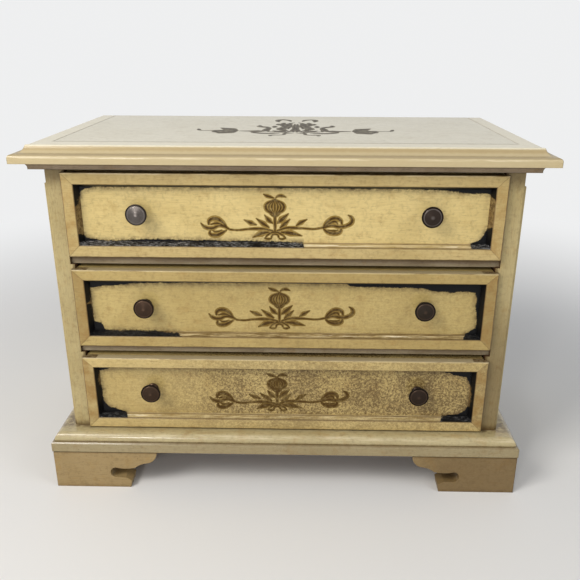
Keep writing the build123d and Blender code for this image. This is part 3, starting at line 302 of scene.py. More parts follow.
class InteriorSettings(bpy.types.PropertyGroup):
    """Colours and sizes of what is inside."""

    velvet: colour_property("Velvet", "Pile of the tray and linings", (0.23, 0.012, 0.025))
    felt: colour_property("Felt", "Dots that the lid rests on", (0.07, 0.11, 0.06))
    stain: colour_property("Stain", "Brown stain inside the case", (0.12, 0.06, 0.027))
    pine: colour_property("Drawer wood", "Plain wood of the drawers' boxes", (0.5, 0.31, 0.14))
    brass: colour_property("Brass", "Hinges, key and cylinder", (0.62, 0.43, 0.19))
    bronze: colour_property("Bronze", "Dark lacquer of the knobs' rims", (0.03, 0.02, 0.016))
    velvet_softness: length_property("Velvet softness", "Rounding of velvet edges", 1.1 * MM)


class StageSettings(bpy.types.PropertyGroup):
    """Floor, lamps and camera."""

    floor: colour_property("Floor", "Pale floor and backdrop", (0.8, 0.79, 0.77))
    key: power_property("Key light", "Power of the upper left lamp", 7.6)
    fill: power_property("Fill light", "Power of the upper right lamp", 1.9)
    window: power_property("Window", "Power of the small lamp in front", 2.4)
    sky: FloatProperty(name="Sky", description="Strength of the light all round", default=0.4)
    lens: FloatProperty(name="Lens", description="Focal length of the camera in mm", default=42.07)


def panel(context, group):
    """One of the panel's groups of sizes and colours."""
    return getattr(context.scene, "box_" + group)


def tinted(tone, shade):
    """A colour times a shade, which is one number or one for each channel."""
    shades = shade if isinstance(shade, tuple) else (shade,) * 3
    return [min(1, channel * share) for channel, share in zip(tone, shades)]


def blend(first, second, share):
    """A colour between two; share 1 is the second."""
    return [one * (1 - share) + other * share for one, other in zip(first, second)]


def in_mm(corners):
    """The two corners of a box, in millimetres."""
    return [corner / MM for corner in corners]


class Value:
    """A number in a material; arithmetic on it adds Math nodes."""

    def __init__(self, finish, socket):
        self.finish = finish
        self.socket = socket

    def __add__(self, other):
        return self.finish.math("ADD", self, other)

    def __radd__(self, other):
        return self.finish.math("ADD", other, self)

    def __sub__(self, other):
        return self.finish.math("SUBTRACT", self, other)

    def __rsub__(self, other):
        return self.finish.math("SUBTRACT", other, self)

    def __mul__(self, other):
        return self.finish.math("MULTIPLY", self, other)

    def __rmul__(self, other):
        return self.finish.math("MULTIPLY", other, self)

    def __abs__(self):
        return self.finish.math("ABSOLUTE", self)


class Finish:
    """A procedural material while its nodes are put together; its lengths are in millimetres."""

    def __init__(self, name, owner=None):
        self.material = owner or bpy.data.materials.new(name)
        self.material.use_nodes = True
        self.tree = self.material.node_tree
        self.tree.nodes.clear()
        self.place = self.node("TexCoord").outputs["Object"]
        apart = self.node("SeparateXYZ", values={0: self.scaled((1 / MM,) * 3)})
        self.x, self.y, self.z = (Value(self, apart.outputs[axis]) for axis in "XYZ")

    def node(self, kind, settings=None, values=None):
        """Adds a node; its settings are set first, then its sockets' values or links."""
        made = self.tree.nodes.new("ShaderNode" + kind)
        for name, setting in (settings or {}).items():
            setattr(made, name, setting)
        for key, value in (values or {}).items():
            source = value.socket if isinstance(value, Value) else value
            if isinstance(source, bpy.types.NodeSocket):
                self.tree.links.new(source, made.inputs[key])
            elif made.inputs[key].type == "RGBA":
                made.inputs[key].default_value = (*source, 1)
            else:
                made.inputs[key].default_value = source
        return made

    def math(self, operation, *operands):
        """A Math node as a number."""
        made = self.node("Math", {"operation": operation}, dict(enumerate(operands)))
        return Value(self, made.outputs[0])

    def most(self, one, other):
        """The larger of two numbers."""
        return self.math("MAXIMUM", one, other)

    def least(self, one, other):
        """The smaller of two numbers."""
        return self.math("MINIMUM", one, other)

    def step(self, value, low, high):
        """0 below low, 1 above high, with a soft step between them; high may be the lower one."""
        if low > high:
            return 1 - self.step(value, high, low)
        settings = {"interpolation_type": "SMOOTHSTEP"}
        made = self.node("MapRange", settings, {0: value, 1: low, 2: high})
        return Value(self, made.outputs[0])

    def scaled(self, scale):
        """The object's coordinates, stretched."""
        return self.node("Mapping", values={0: self.place, 3: scale}).outputs[0]

    def noise(self, size, detail=3.0, rough=0.55, scale=None):
        """Cloudy noise from 0 to 1, with features of a size; a scale stretches it."""
        vector = self.scaled(scale) if scale else self.place
        values = {"Vector": vector, "Scale": 1 / (size * MM), "Detail": detail, "Roughness": rough}
        return Value(self, self.node("TexNoise", values=values).outputs[0])

    def profile(self, along, half, points):
        """A length that changes along an axis: points are pairs of place and length."""
        ramp = self.node("ValToRGB", values={0: along * (0.5 / half) + 0.5})
        stops = ramp.color_ramp.elements
        for index, (place, length) in enumerate(points):
            position = place / half / 2 + 0.5
            stop = stops[index] if index < len(stops) else stops.new(position)
            level = (length - PROFILE_LOW) / PROFILE_SPAN
            stop.position, stop.color = position, (level, level, level, 1)
        grey = self.node("SeparateColor", values={0: ramp.outputs[0]})
        return Value(self, grey.outputs[0]) * PROFILE_SPAN + PROFILE_LOW

    def mix(self, factor, first, second):
        """Two colours mixed; factor 0 is the first."""
        made = self.node("Mix", {"data_type": "RGBA"}, {0: factor, 6: first, 7: second})
        return made.outputs[2]

    def specks(self, spacing, share, radius):
        """Dots scattered over the surface: a share of cells, spacing apart, holds one."""
        values = {"Vector": self.place, "Scale": 1 / (spacing * MM), "Randomness": 1.0}
        cells = self.node("TexVoronoi", {"feature": "F1"}, values)
        lot = self.node("SeparateColor", values={0: cells.outputs["Color"]})
        chosen = self.math("LESS_THAN", Value(self, lot.outputs[0]), share)
        size = Value(self, lot.outputs[1]) * radius + radius * 0.4
        return self.step(Value(self, cells.outputs["Distance"]) - size, 0.0, -0.12) * chosen

    def corners(self, reach):
        """1 in the hollows of a piece, 0 in the open."""
        settings = {"samples": 8, "only_local": True}
        made = self.node("AmbientOcclusion", settings, {"Distance": reach * MM})
        return 1 - Value(self, made.outputs["AO"])

    def soft_normal(self, radius):
        """The normal with edges rounded over a radius."""
        return self.node("Bevel", {"samples": 6}, {"Radius": radius * MM}).outputs[0]

    def edges(self, rounded):
        """1 on edges, where the rounded normal turns from the flat one."""
        flat = self.node("NewGeometry").outputs["True Normal"]
        dot = self.node("VectorMath", {"operation": "DOT_PRODUCT"}, {0: rounded, 1: flat})
        return self.step(Value(self, dot.outputs["Value"]), 0.97, 0.8)

    def seen(self):
        """1 for the rays of the camera and of reflections, 0 for those that light the object."""
        rays = self.node("LightPath").outputs
        return self.most(Value(self, rays["Is Camera Ray"]), Value(self, rays["Is Glossy Ray"]))

    def bump(self, height, depth, normal=None):
        """A normal from a height in 0 to 1 and its depth."""
        values = {"Height": height, "Distance": depth * MM}
        if normal:
            values["Normal"] = normal
        return self.node("Bump", values=values).outputs[0]

    def surface(self, **sockets):
        """Ends the material in one Principled shader; names use _ for spaces."""
        values = {name.replace("_", " "): value for name, value in sockets.items()}
        shader = self.node("BsdfPrincipled", values=values)
        self.node("OutputMaterial", values={"Surface": shader.outputs[0]})
        return self.material


def cover(piece, material):
    """Gives a piece one material."""
    piece.data.materials.clear()
    piece.data.materials.append(material)


def dress(material, *names):
    """Gives a material to nodes of the frame."""
    for name in names:
        cover(NODES[name], material)


class Paint(Finish):
    """Antiqued paint, built up coat on coat."""

    def __init__(self, context, name, coat, grain, sand=0.0, age=1.0):
        super().__init__(name)
        self.tones = paint = panel(context, "paint")
        self.bare = panel(context, "interior")
        speck = paint.speck_size / MM
        self.rounded = self.soft_normal(paint.edge_softness / MM)
        self.brush = self.noise(2.2, 5.0, 0.6, grain)
        streak = self.noise(0.9, 4.0, 0.65, grain)
        darker = tinted(coat, (0.8, 0.77, 0.68))
        self.colour = self.mix(self.step(self.noise(34, 4.0), 0.35, 0.7) * 0.6 * age, coat, darker)
        self.lay(self.step(self.brush, 0.48, 0.75) * 0.25 * age, paint.amber)
        self.lay(self.step(self.noise(9, 5.0, 0.65), 0.53, 0.72) * 0.34 * age, paint.amber)
        self.lay(self.step(self.noise(2.4, 6.0, 0.7), 0.48, 0.66) * 0.2 * age)
        self.lay(self.step(streak, 0.53, 0.72) * 0.34)
        self.lay(self.step(streak, 0.42, 0.3) * 0.25, tinted(coat, 1.35))
        if sand:
            self.lay(self.specks(speck * 0.8, 0.35, 0.2) * sand * 0.7)
            grit = self.step(self.noise(1.3, 7.0, 0.85) + self.noise(25) * 0.2, 0.5, 0.68)
            self.lay(grit * (self.step(self.x, -100, -20) * 0.82 + 0.18) * sand)
        dust = self.specks(speck * 0.45, 0.34, 0.17)
        flecks = self.specks(speck * 2.6, 0.18, 0.1)
        self.lay(dust * 0.38 + flecks * 0.7)
        hollow = self.corners(paint.glaze_reach / MM) + self.noise(3) * 0.35
        self.lay(self.step(hollow, 0.42, 0.8) * 0.8)
        arris = self.edges(self.rounded)
        # Painted highlight: the edges are laid paler, as where they catch the light.
        self.lay(arris * 0.45, tinted(coat, 1.5))
        worn = arris * self.step(self.noise(6, 4.0), 0.5, 0.64)
        self.lay(worn * 0.5, paint.amber)
        self.rough = 0.4 + self.noise(6) * 0.16 - worn * 0.1
        self.height = self.brush * 0.5 + streak * 0.5 - flecks * 0.5
        self.wax = 1.0

    def lay(self, mask, colour=None):
        """Lays a colour over the rest where the mask is 1; without one, the glaze."""
        self.colour = self.mix(mask, self.colour, colour or self.tones.glaze)

    def leave_bare(self, mask, wood):
        """Leaves the wood unpainted where the mask is 1."""
        pores = self.step(self.noise(0.6, 2.0, 0.5, (0.1, 1, 1)), 0.5, 0.7)
        self.lay(mask, self.mix(pores * 0.5, wood, tinted(wood, 0.5)))
        self.rough = self.rough + mask * 0.12

    def done(self, gloss):
        """The finished material; gloss is the weight of its wax."""
        normal = self.bump(self.height, 0.05, self.rounded)
        return self.surface(
            Base_Color=self.colour, Roughness=self.rough, Normal=normal, Specular_IOR_Level=0.15,
            Coat_Weight=self.wax * gloss, Coat_Roughness=0.18,
        )


class BOX_OT_case_paint(bpy.types.Operator):
    """Paints the case, plinth, feet and side frames"""

    bl_idname = "box.case_paint"
    bl_label = "Paint the case"

    def sides(self, context, tones):
        """The sides: darker at the foot and along the opening, painted shade under the lid and low
        on the right, bare wood inside.
        """
        f = Paint(context, "case_paint", tones.case, UPRIGHT)
        ragged = f.noise(3, 4.0, 0.65)
        f.lay(f.step(f.z - ragged * 5, PLINTH_TOP + 3, PLINTH_TOP - 3) * 0.85)
        # Painted shade under the lid's overhang, along the top of the sides.
        f.lay(f.step(f.z + ragged * 6, RIM - 9, RIM) * 0.55)
        # Painted shade: darker low on the right side's front.
        low_right = f.step(f.x, 0, 1) * f.step(f.z, 150, 80)
        f.lay(low_right * f.step(f.y, CASE_FRONT + 2, CASE_FRONT) * 0.58)
        f.lay(f.step(abs(f.x) - ragged * 1.6, OPENING_HALF + 1, OPENING_HALF) * 0.6)
        inside = f.step(f.y, CASE_FRONT + 0.6, CASE_FRONT + 0.9)
        inside *= f.step(abs(f.x), OPENING_HALF + 4, OPENING_HALF + 3)
        f.leave_bare(inside, f.bare.stain)
        sides = ("case_side_left", "case_side_right", "side_frame_left", "side_frame_right")
        dress(f.done(0.25), *sides)

    def plinth(self, context, tones):
        """The plinth: seam over the feet, darker band, groove, painted highlight on the bead, and
        darker under the case.
        """
        f = Paint(context, "plinth_paint", tones.plinth, MOULDED)
        f.lay(f.step(f.z + f.noise(3), FOOT_TOP + 1.6, FOOT_TOP + 0.6) * 0.6)
        band_top = FOOT_TOP + PLINTH_BAND
        f.lay(f.step(f.z, band_top, band_top - 0.5) * 0.36)
        # Painted highlight: a pale broken streak along the bead.
        bead_highlight = f.step(abs(f.z - PLINTH_TOP + 1.4), 1.3, 0.3) * f.step(f.x, -120, -40)
        bead_highlight *= f.step(f.noise(2, 5.0, 0.65, (0.1, 0.1, 1)), 0.4, 0.6)
        f.lay(bead_highlight * 0.4, PLINTH_BEAD_HIGHLIGHT)
        f.lay(f.step(abs(f.z - band_top) - f.noise(3) * 0.5, 0.4, 0.0) * 0.5)
        under = f.step(f.y + f.noise(5) * 6, CASE_FRONT - 2, CASE_FRONT + 3)
        under *= f.step(abs(f.x), OPENING_HALF - 1, OPENING_HALF + 1)
        under *= f.step(f.z, PLINTH_TOP - 1.5, PLINTH_TOP - 0.5)
        under *= f.step(f.y, CASE_FRONT + 26, CASE_FRONT + 8)
        f.lay(under * f.step(f.noise(4, 4.0), 0.3, 0.6) * 0.7)
        dress(f.done(0.9), "plinth_front", "plinth_sides")

    def feet(self, context, tones):
        """The feet: duller than the plinth, darker at floor and seam, painted shade on the right.
        """
        duller = tinted(tones.plinth, (0.72, 0.62, 0.53))
        f = Paint(context, "foot_paint", duller, MOULDED, sand=0.12)
        f.lay(f.step(f.z + f.noise(4) * 5, 6, 1) * 0.5)
        f.lay(f.step(f.z - f.noise(3), FOOT_TOP - 1.6, FOOT_TOP - 0.6) * 0.5)
        # Painted shade: darker towards the right.
        f.lay(f.step(f.x, 60, 110) * 0.5)
        feet = ("front_foot_left", "front_foot_right", "back_foot_left", "back_foot_right")
        dress(f.done(0.3), *feet)

    def dividers(self, context, tones):
        """The dividers' front edges, shaded under the drawer above; the rest is stained."""
        greyer = tinted(tones.case, (0.9, 0.92, 1.25))
        f = Paint(context, "divider_paint", greyer, LENGTHWISE, sand=0.1)
        f.lay(f.step(f.noise(6, 4.0, 0.5, (0.2, 1, 1)), 0.4, 0.65) * 0.3)
        for node in ("upper_divider", "lower_divider"):
            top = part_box(node)[1].z / MM
            f.lay(f.step(f.z, top - 5, top - 1) * f.step(f.z, top + 2, top + 1) * 0.9)
        f.leave_bare(f.step(f.y, CASE_FRONT + 4, CASE_FRONT + 5), f.bare.stain)
        dress(f.done(0.15), "upper_divider", "lower_divider")

    def execute(self, context):
        tones = panel(context, "paint")
        for coat in (self.sides, self.plinth, self.feet, self.dividers):
            coat(context, tones)
        return {"FINISHED"}


class BOX_OT_lid_paint(bpy.types.Operator):
    """Paints the lid's field and mouldings"""

    bl_idname = "box.lid_paint"
    bl_label = "Paint the lid"

    def execute(self, context):
        tones = panel(context, "paint")
        f = Paint(context, "lid_paint", tones.lid, LID_BRUSHED, age=0.45)
        ragged = f.noise(3, 4.0)
        warm = f.step(f.z + ragged * 0.8, LID_TOP, LID_TOP - 0.6)
        f.lay(warm * 0.85, tones.moulding)
        f.lay(f.step(f.z, LID_TOP - 10.5, LID_TOP - 12) * 0.5)
        beyond = f.most(abs(f.x) - JOINT_HALF, (JOINT_FRONT - f.y) * 0.5)
        f.lay(f.step(abs(beyond) - ragged * 0.4, 0.55, 0.1) * 0.5)
        border = f.math("GREATER_THAN", beyond, 0)
        f.lay(border * (1 - warm) * 0.35, BORDER_CREAM)
        below = LID_TOP - f.z
        cove = f.step(abs(below - LID_COVE) - ragged * 0.9, 1.1, -0.3)
        f.lay(cove * 0.55, tinted(blend(tones.amber, tones.moulding, 0.625), 0.8))
        f.lay(f.step(abs(below - LID_QUIRK) - ragged * 0.4, 0.45, 0.05) * 0.3)
        # Painted highlight: pale streaks along the lid's bead.
        bead = f.step(abs(below - LID_BEAD), 0.8, 0.2)
        f.lay(bead * f.step(f.brush, 0.4, 0.6) * 0.5, LID_BEAD_HIGHLIGHT)
        dress(f.done(0.4), "lid_panel", "lid_moulding_front", "lid_moulding_sides")
        # A darker coat for the bed moulding: partly heavier glaze, partly painted shade under the
        # lid.
        dark = tinted(tones.moulding, (0.6, 0.6, 0.8))
        f = Paint(context, "bed_moulding_paint", dark, LENGTHWISE)
        f.lay(f.step(f.noise(14, 4.0), 0.35, 0.75) * 0.3)
        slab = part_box("lid_bed_moulding")[1].z / MM
        # Painted shade: darker along the top, under the lid's edge.
        f.lay(f.step(f.z, slab - 2.2, slab - 1.2) * 0.65)
        # Painted shadow: black along the foot, where the gap under the lid is dark.
        f.lay(f.step(f.z, RIM + 1.2, RIM + 0.6) * 0.8, tones.ebony_and_gap_shadow)
        dress(f.done(0.25), "lid_bed_moulding")
        return {"FINISHED"}


class BOX_OT_drawer_paint(bpy.types.Operator):
    """Paints the drawers' fronts and frames, with their black brushwork"""

    bl_idname = "box.drawer_paint"
    bl_label = "Paint the drawers"

    def black(self, f, row, up, inside):
        """Masks of the black, which reaches in from each side of the recess, and its brown edge."""
        ragged = (f.noise(1.4, 4.0, 0.65) - 0.5) * 1.3 + (f.noise(7, 2.0) - 0.5) * 1.6
        ragged += (f.noise(0.8, 4.0, 0.8, (0.3, 1, 1)) - 0.5) * 2.4
        sides = {
            "top": (f.x, RECESS_X, RECESS_Z - up),
            "bottom": (f.x, RECESS_X, RECESS_Z + up),
            "left": (up, RECESS_Z, RECESS_X + f.x),
            "right": (up, RECESS_Z, RECESS_X - f.x),
        }
        black = brown = 0.0
        for side, (along, half, distance) in sides.items():
            reach = f.profile(along, half + FRAME_BEVEL, BRUSHWORK[row][side])
            short = distance - reach - ragged
            black = f.most(black, f.step(short, 0.3, -0.3))
            brown = f.most(brown, f.step(short, 3.4, -0.6))
        hole = f.most(abs(f.x) - RECESS_X, abs(up) - RECESS_Z)
        inside = inside * f.step(hole, FRAME_BEVEL + 0.05, FRAME_BEVEL - 0.05)
        return black * inside, brown * inside

    def mitred(self, f, row, low, high, up, inside):
        """Coats of a frame: joints, outline, painted shade on the top, painted highlight on the
        arris, and lip; returns the joints' mask.
        """
        aside, over = high.x - abs(f.x), (high.z - low.z) / 2 - abs(up)
        mitre = aside - over
        upright = f.step(mitre, 0.1, -0.1)
        worn = f.step(f.noise(9, 5.0, 0.65), 0.35, 0.65)
        f.lay(upright * worn * (0.35 + row * 0.12), f.tones.amber)
        if row > 1:
            f.lay(upright * 0.22)
        f.lay(f.step(abs(mitre), 0.28, 0.1) * 0.45)
        smear = f.noise(7, 4.0, 0.6)
        face = f.step(f.y, low.y + 1, low.y + 0.4)
        f.lay(face * f.step(f.least(aside, over) - smear * 1.1, 0.25, -0.35) * 0.8)
        # Painted shade on the frame's top face: glaze brown under the lid on the top drawer, grey
        # on the others.
        top = f.step(f.z, high.z - 0.3, high.z - 0.1)
        f.lay(top * 0.75, None if row == 1 else tinted(FRAME_TOP_SHADE, DRAWER_TONE_AND_SHADE[row]))
        # Painted highlight: a pale broken line along the frame's face just under its top edge.
        arris_highlight = face * (1 - top) * f.step(f.z, high.z - 1.1, high.z - 0.7)
        arris_highlight *= f.step(f.noise(4, 4.0, 0.6, (0.2, 1, 1)), 0.35, 0.55)
        f.lay(arris_highlight * 0.55, tinted(ARRIS_HIGHLIGHT, DRAWER_TONE_AND_SHADE[row]))
        lip = abs(f.most(abs(f.x) - RECESS_X, abs(up) - RECESS_Z) - FRAME_BEVEL)
        f.lay(f.step(lip - smear * 0.3, 0.3, -0.05) * 0.6)
        slope = f.step(abs(f.x), RECESS_X - 1, RECESS_X)
        f.lay(inside * slope * (0.55 + f.step(f.noise(2, 4.0, 0.7), 0.4, 0.6) * 0.4))
        return f.step(abs(mitre), 0.3, 0.05)

    def ledge_lines(self, f, row, up, mask):
        """The ledge under a recess: patchy painted highlight, two glaze lines and painted glints
        between them.
        """
        # Painted highlight: pale patches along the ledge, which faces up to the light.
        pale = f.step(f.noise(1.6, 5.0, 0.7, (0.12, 1, 1)), 0.35, 0.65)
        f.lay(mask * pale * 0.4, LEDGE_HIGHLIGHT)
        f.lay(mask * (1 - pale) * LEDGE_GLAZE[row])
        off = abs(up + RECESS_Z + LEDGE_LINE)
        # Painted glints: a broken near-white line along the middle of the ledge.
        painted_glint = f.step(off, 0.4, 0.15) * f.step(f.noise(5, 5.0, 0.7, (0.1, 1, 1)), 0.52, 0.62)
        f.lay(mask * painted_glint * 0.7, PAINTED_GLINT)
        f.lay(mask * f.step(abs(off - 0.75), 0.32, 0.05) * (0.3 + pale * 0.6))

    def coat(self, context, row, part, tone, sand):
        """All coats of one drawer's front board or frame."""
        low, high = in_mm(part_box("drawer_%d_frame" % row))
        f = Paint(context, "drawer_%d_%s_paint" % (row, part), tone, LENGTHWISE, sand)
        up = f.z - (low.z + high.z) / 2
        ledge = f.step(up, -RECESS_Z + 0.1, -RECESS_Z - 0.1)
        if part == "frame":
            inside = f.step(f.y, low.y + 0.2, low.y + 0.5)
            joint = self.mitred(f, row, low, high, up, inside)
        else:
            inside = f.step(f.y, PANEL_FACE + 0.6, PANEL_FACE + 0.5)
        black, brown = self.black(f, row, up, inside)
        f.lay(brown * f.step(f.noise(3, 5.0, 0.7), 0.35, 0.6) * 0.7)
        if part == "frame":
            self.ledge_lines(f, row, up, inside * ledge)
        # Scuffs on the black ledge: partly scratches, partly painted highlight streaks.
        scuffs_and_sheen = f.step(f.noise(0.7, 5.0, 0.8, (0.3, 1, 1)), 0.46, 0.64) * ledge
        scuffs_and_sheen *= f.step(f.noise(9), 0.3, 0.55)
        f.lay(black, f.mix(scuffs_and_sheen * SCUFF_AND_SHEEN[row], f.tones.ebony_and_gap_shadow, f.tones.scuff_and_sheen))
        f.rough = f.rough - black * 0.1
        f.wax = 1 - black * 0.9
        if part == "frame":
            f.height = f.height - joint * 1.5
        else:
            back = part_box("drawer_%d_front" % row)[1].y / MM
            f.leave_bare(f.step(f.y, back - 0.6, back - 0.3), f.bare.pine)
        dress(f.done(0.45), "drawer_%d_%s" % (row, part))

    def execute(self, context):
        tones = panel(context, "paint")
        for row in DRAWERS:
            front = tinted(tones.drawer, DRAWER_TONE_AND_SHADE[row])
            strips = tinted(tinted(tones.frame, FRAME_TONE[row]), DRAWER_TONE_AND_SHADE[row])
            self.coat(context, row, "front", front, SAND[row])
            self.coat(context, row, "frame", strips, SAND[row] * FRAME_SAND)
        return {"FINISHED"}


class BOX_OT_plain_wood(bpy.types.Operator):
    """Stains the inner boards and grains the drawers' boxes"""

    bl_idname = "box.plain_wood"
    bl_label = "Stain and grain the wood"

    def grained(self, name, tone, light, scale, rough):
        """Wood with long grain, pores and a little wear."""
        f = Finish(name)
        grain = f.math("FRACT", f.noise(5, 3.0, 0.5, scale) * 9.0)
        grain = f.step(grain, 0.0, 0.5) * f.step(grain, 1.0, 0.55)
        pores = f.step(f.noise(0.5, 2.0, 0.5, scale), 0.56, 0.68)
        dark = tinted(tone, 0.45)
        colour = f.mix(pores * 0.55, f.mix(grain * 0.45, light, tone), dark)
        colour = f.mix(f.step(f.noise(30), 0.4, 0.7) * 0.35, colour, dark)
        normal = f.bump(pores * -0.7 + grain * 0.25, 0.06, f.soft_normal(0.4))
        return f.surface(
            Base_Color=colour, Roughness=rough + pores * 0.2, Normal=normal, Coat_Weight=0.1,
            Coat_Roughness=0.4,
        )

    def execute(self, context):
        interior = panel(context, "interior")
        stain, pine = interior.stain, interior.pine
        board = self.grained("stained_board", stain, tinted(stain, 1.9), (0.1, 1, 1), 0.5)
        dress(board, "case_bottom", "back_panel", "tray_floor", "tray_front_rail", "mirror_frame")
        plain = self.grained("drawer_wood", pine, tinted(pine, 1.35), (1, 0.1, 1), 0.6)
        for row in DRAWERS:
            dress(plain, *("drawer_%d_%s" % (row, part) for part in ("sides", "back", "bottom")))
        return {"FINISHED"}


class BOX_OT_metal(bpy.types.Operator):
    """Finishes hinges, knobs, key and music movement"""

    bl_idname = "box.metal"
    bl_label = "Finish the metal"

    def metal(self, name, tone, rough, tarnish, share):
        """Handled metal: tarnish in clouds and hollows, fine scratches."""
        f = Finish(name)
        cloud = f.step(f.noise(5, 5.0, 0.65), 0.42, 0.75)
        dull = f.least(cloud * share + f.step(f.corners(1.5), 0.15, 0.6) * 0.7, 1.0)
        colour = f.mix(dull, tone, tarnish)
        scratch = f.noise(0.25, 2.0, 0.5, (1, 1, 8))
        rough = rough + dull * 0.25 + scratch * 0.08
        normal = f.bump(scratch, 0.012, f.soft_normal(0.25))
        return f.surface(Base_Color=colour, Metallic=1.0, Roughness=rough, Normal=normal)

    def knobs(self, row, left, right, bronze):
        """Worn knobs: the metal's two tones, a dark rim and a turned ring, with painted highlight
        on the ring and the middle.
        """
        node = "drawer_%d_knobs" % row
        low, high = in_mm(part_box(node))
        f = Finish("knob_metal_%d" % row)
        cloud = f.step(f.noise(4, 5.0, 0.65), 0.4, 0.75)
        tone = f.mix(f.step(f.x, -1, 1), left, right)
        beside = high.x - KNOB_RADIUS - abs(f.x)
        over = f.z - (high.z + low.z) / 2
        past_rim = f.math("SQRT", beside * beside + over * over) - KNOB_RADIUS
        middle = f.step(past_rim, 1.6 - KNOB_RADIUS, 0.2 - KNOB_RADIUS)
        colour = f.mix(cloud * 0.5, tone, bronze)
        ring = f.step(abs(past_rim + 1.3), 0.4, 0.1)
        # Painted highlight: the turned ring and the middle of each knob are laid paler.
        colour = f.mix(ring * 0.35 + middle * 0.3, colour, tinted(left, 2.2))
        colour = f.mix(f.step(past_rim, -0.9, -0.5) * 0.9, colour, tinted(bronze, 0.3))
        turned = f.step(abs(past_rim + 0.9), 0.35, 0.05)
        normal = f.bump(f.noise(0.5, 4.0, 0.65) * 0.3 - turned, 0.15, f.soft_normal(0.3))
        rough = 0.3 + cloud * 0.15
        dress(f.surface(Base_Color=colour, Metallic=0.9, Roughness=rough, Normal=normal), node)

    def execute(self, context):
        interior = panel(context, "interior")
        brass = self.metal("brass", interior.brass, 0.24, (0.22, 0.135, 0.06), 0.45)
        dress(brass, "hinge_case_leaves", "hinge_lid_leaves", "hinge_pins", "hinge_case_screws")
        dress(brass, "hinge_lid_screws", "spring_barrel", "winding_key", "pinned_cylinder")
        dress(brass, "stop_plunger")
        steel = self.metal("steel", (0.6, 0.6, 0.62), 0.22, (0.2, 0.18, 0.16), 0.2)
        dress(steel, "comb", "movement_screws", "governor_fly")
        cast = self.metal("cast_plate", (0.5, 0.5, 0.5), 0.42, (0.25, 0.24, 0.22), 0.4)
        dress(cast, "movement_plate")
        for row, (left, right) in KNOB_WEAR_AND_REFLECTION.items():
            self.knobs(row, left, right, interior.bronze)
        return {"FINISHED"}


class BOX_OT_mirror(bpy.types.Operator):
    """Silvers the glass under the lid"""

    bl_idname = "box.mirror"
    bl_label = "Silver the mirror"

    def execute(self, context):
        low, high = in_mm(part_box("mirror_glass"))
        f = Finish("mirror_glass")
        aside = high.x - abs(f.x)
        edge = f.least(aside, (high.y - low.y) / 2 - abs(f.y - (high.y + low.y) / 2))
        spots = f.step(f.noise(4, 6.0, 0.7) * 10 - edge, 1, 3)
        colour = f.mix(spots, (0.93, 0.94, 0.94), (0.3, 0.27, 0.22))
        rough = 0.015 + spots * 0.35 + f.noise(30) * 0.01
        dress(f.surface(Base_Color=colour, Metallic=1.0, Roughness=rough), "mirror_glass")
        return {"FINISHED"}


def velvet(context):
    """Red velvet with a crushed pile."""
    f = Finish("velvet")
    pile = panel(context, "interior").velvet
    crushed = f.step(f.noise(14, 4.0, 0.6), 0.35, 0.7)
    fibre = f.noise(0.35, 3.0, 0.7)
    colour = f.mix(crushed, tinted(pile, 0.68), pile)
    colour = f.mix(f.step(fibre, 0.5, 0.8) * 0.6, colour, tinted(pile, 1.5))
    return f.surface(
        Base_Color=colour, Roughness=0.85, Normal=f.bump(fibre + crushed * 0.5, 0.12),
        Sheen_Weight=0.7, Sheen_Roughness=0.35, Sheen_Tint=(0.9, 0.35, 0.35),
    )


def select_only(first, *others):
    """Selects some pieces and makes the first one active."""
    bpy.ops.object.select_all(action="DESELECT")
    for piece in (first, *others):
        piece.select_set(True)
    bpy.context.view_layer.objects.active = first


def settle(first, *others):
    """Moves the place, turn and size of pieces into their meshes."""
    select_only(first, *others)
    bpy.ops.object.transform_apply(location=True, rotation=True, scale=True)


def joined(name, first, *others):
    """Several pieces as one, in place of the first."""
    settle(first, *others)
    bpy.ops.object.join()
    first.name = name
    return first


def edit(piece):
    """Opens one piece in edit mode with nothing selected."""
    select_only(piece)
    bpy.ops.object.mode_set(mode="EDIT")
    bpy.ops.mesh.select_mode(type="FACE")
    bpy.ops.mesh.select_all(action="DESELECT")


def leave():
    """Back to object mode."""
    bpy.ops.object.mode_set(mode="OBJECT")


def box_piece(name, low, high):
    """A block between two corners, with its place in its mesh."""
    bpy.ops.object.select_all(action="DESELECT")
    bpy.ops.mesh.primitive_cube_add(size=1, location=(low + high) / 2)
    piece = bpy.context.active_object
    piece.name = name
    piece.scale = high - low
    settle(piece)
    return piece


def cylinder(sides, radius, depth, place, turn=(0, 0, 0)):
    """A cylinder with its middle at a place."""
    bpy.ops.object.select_all(action="DESELECT")
    bpy.ops.mesh.primitive_cylinder_add(
        vertices=sides, radius=radius, depth=depth, location=place, rotation=turn
    )
    return bpy.context.active_object


def finish_with(piece, kind, **values):
    """Adds a modifier to a piece and applies it."""
    bpy.context.view_layer.objects.active = piece
    made = piece.modifiers.new(kind.lower(), kind)
    for name, value in values.items():
        setattr(made, name, value)
    bpy.ops.object.modifier_apply(modifier=made.name)


def cut_across(axis, places):
    """Cuts the faces that are being edited by planes square to one axis."""
    for place in places:
        point, normal = [0, 0, 0], [0, 0, 0]
        point[axis], normal[axis] = place, 1
        bpy.ops.mesh.select_all(action="SELECT")
        bpy.ops.mesh.bisect(plane_co=point, plane_no=normal)


def smooth(piece):
    """Shades a piece smooth, apart from its sharp edges."""
    select_only(piece)
    bpy.ops.object.shade_smooth_by_angle(angle=SHARP)


def complete(piece, material, body, *replaced):
    """Gives a modelled piece its material and its body, and hides the nodes that it stands for."""
    cover(piece, material)
    smooth(piece)
    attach(piece, body)
    if replaced:
        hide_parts(*replaced)
        next(s["material_slot"] for s in frame["record"]["subparts"]
                            if s["node"] == replaced[0])


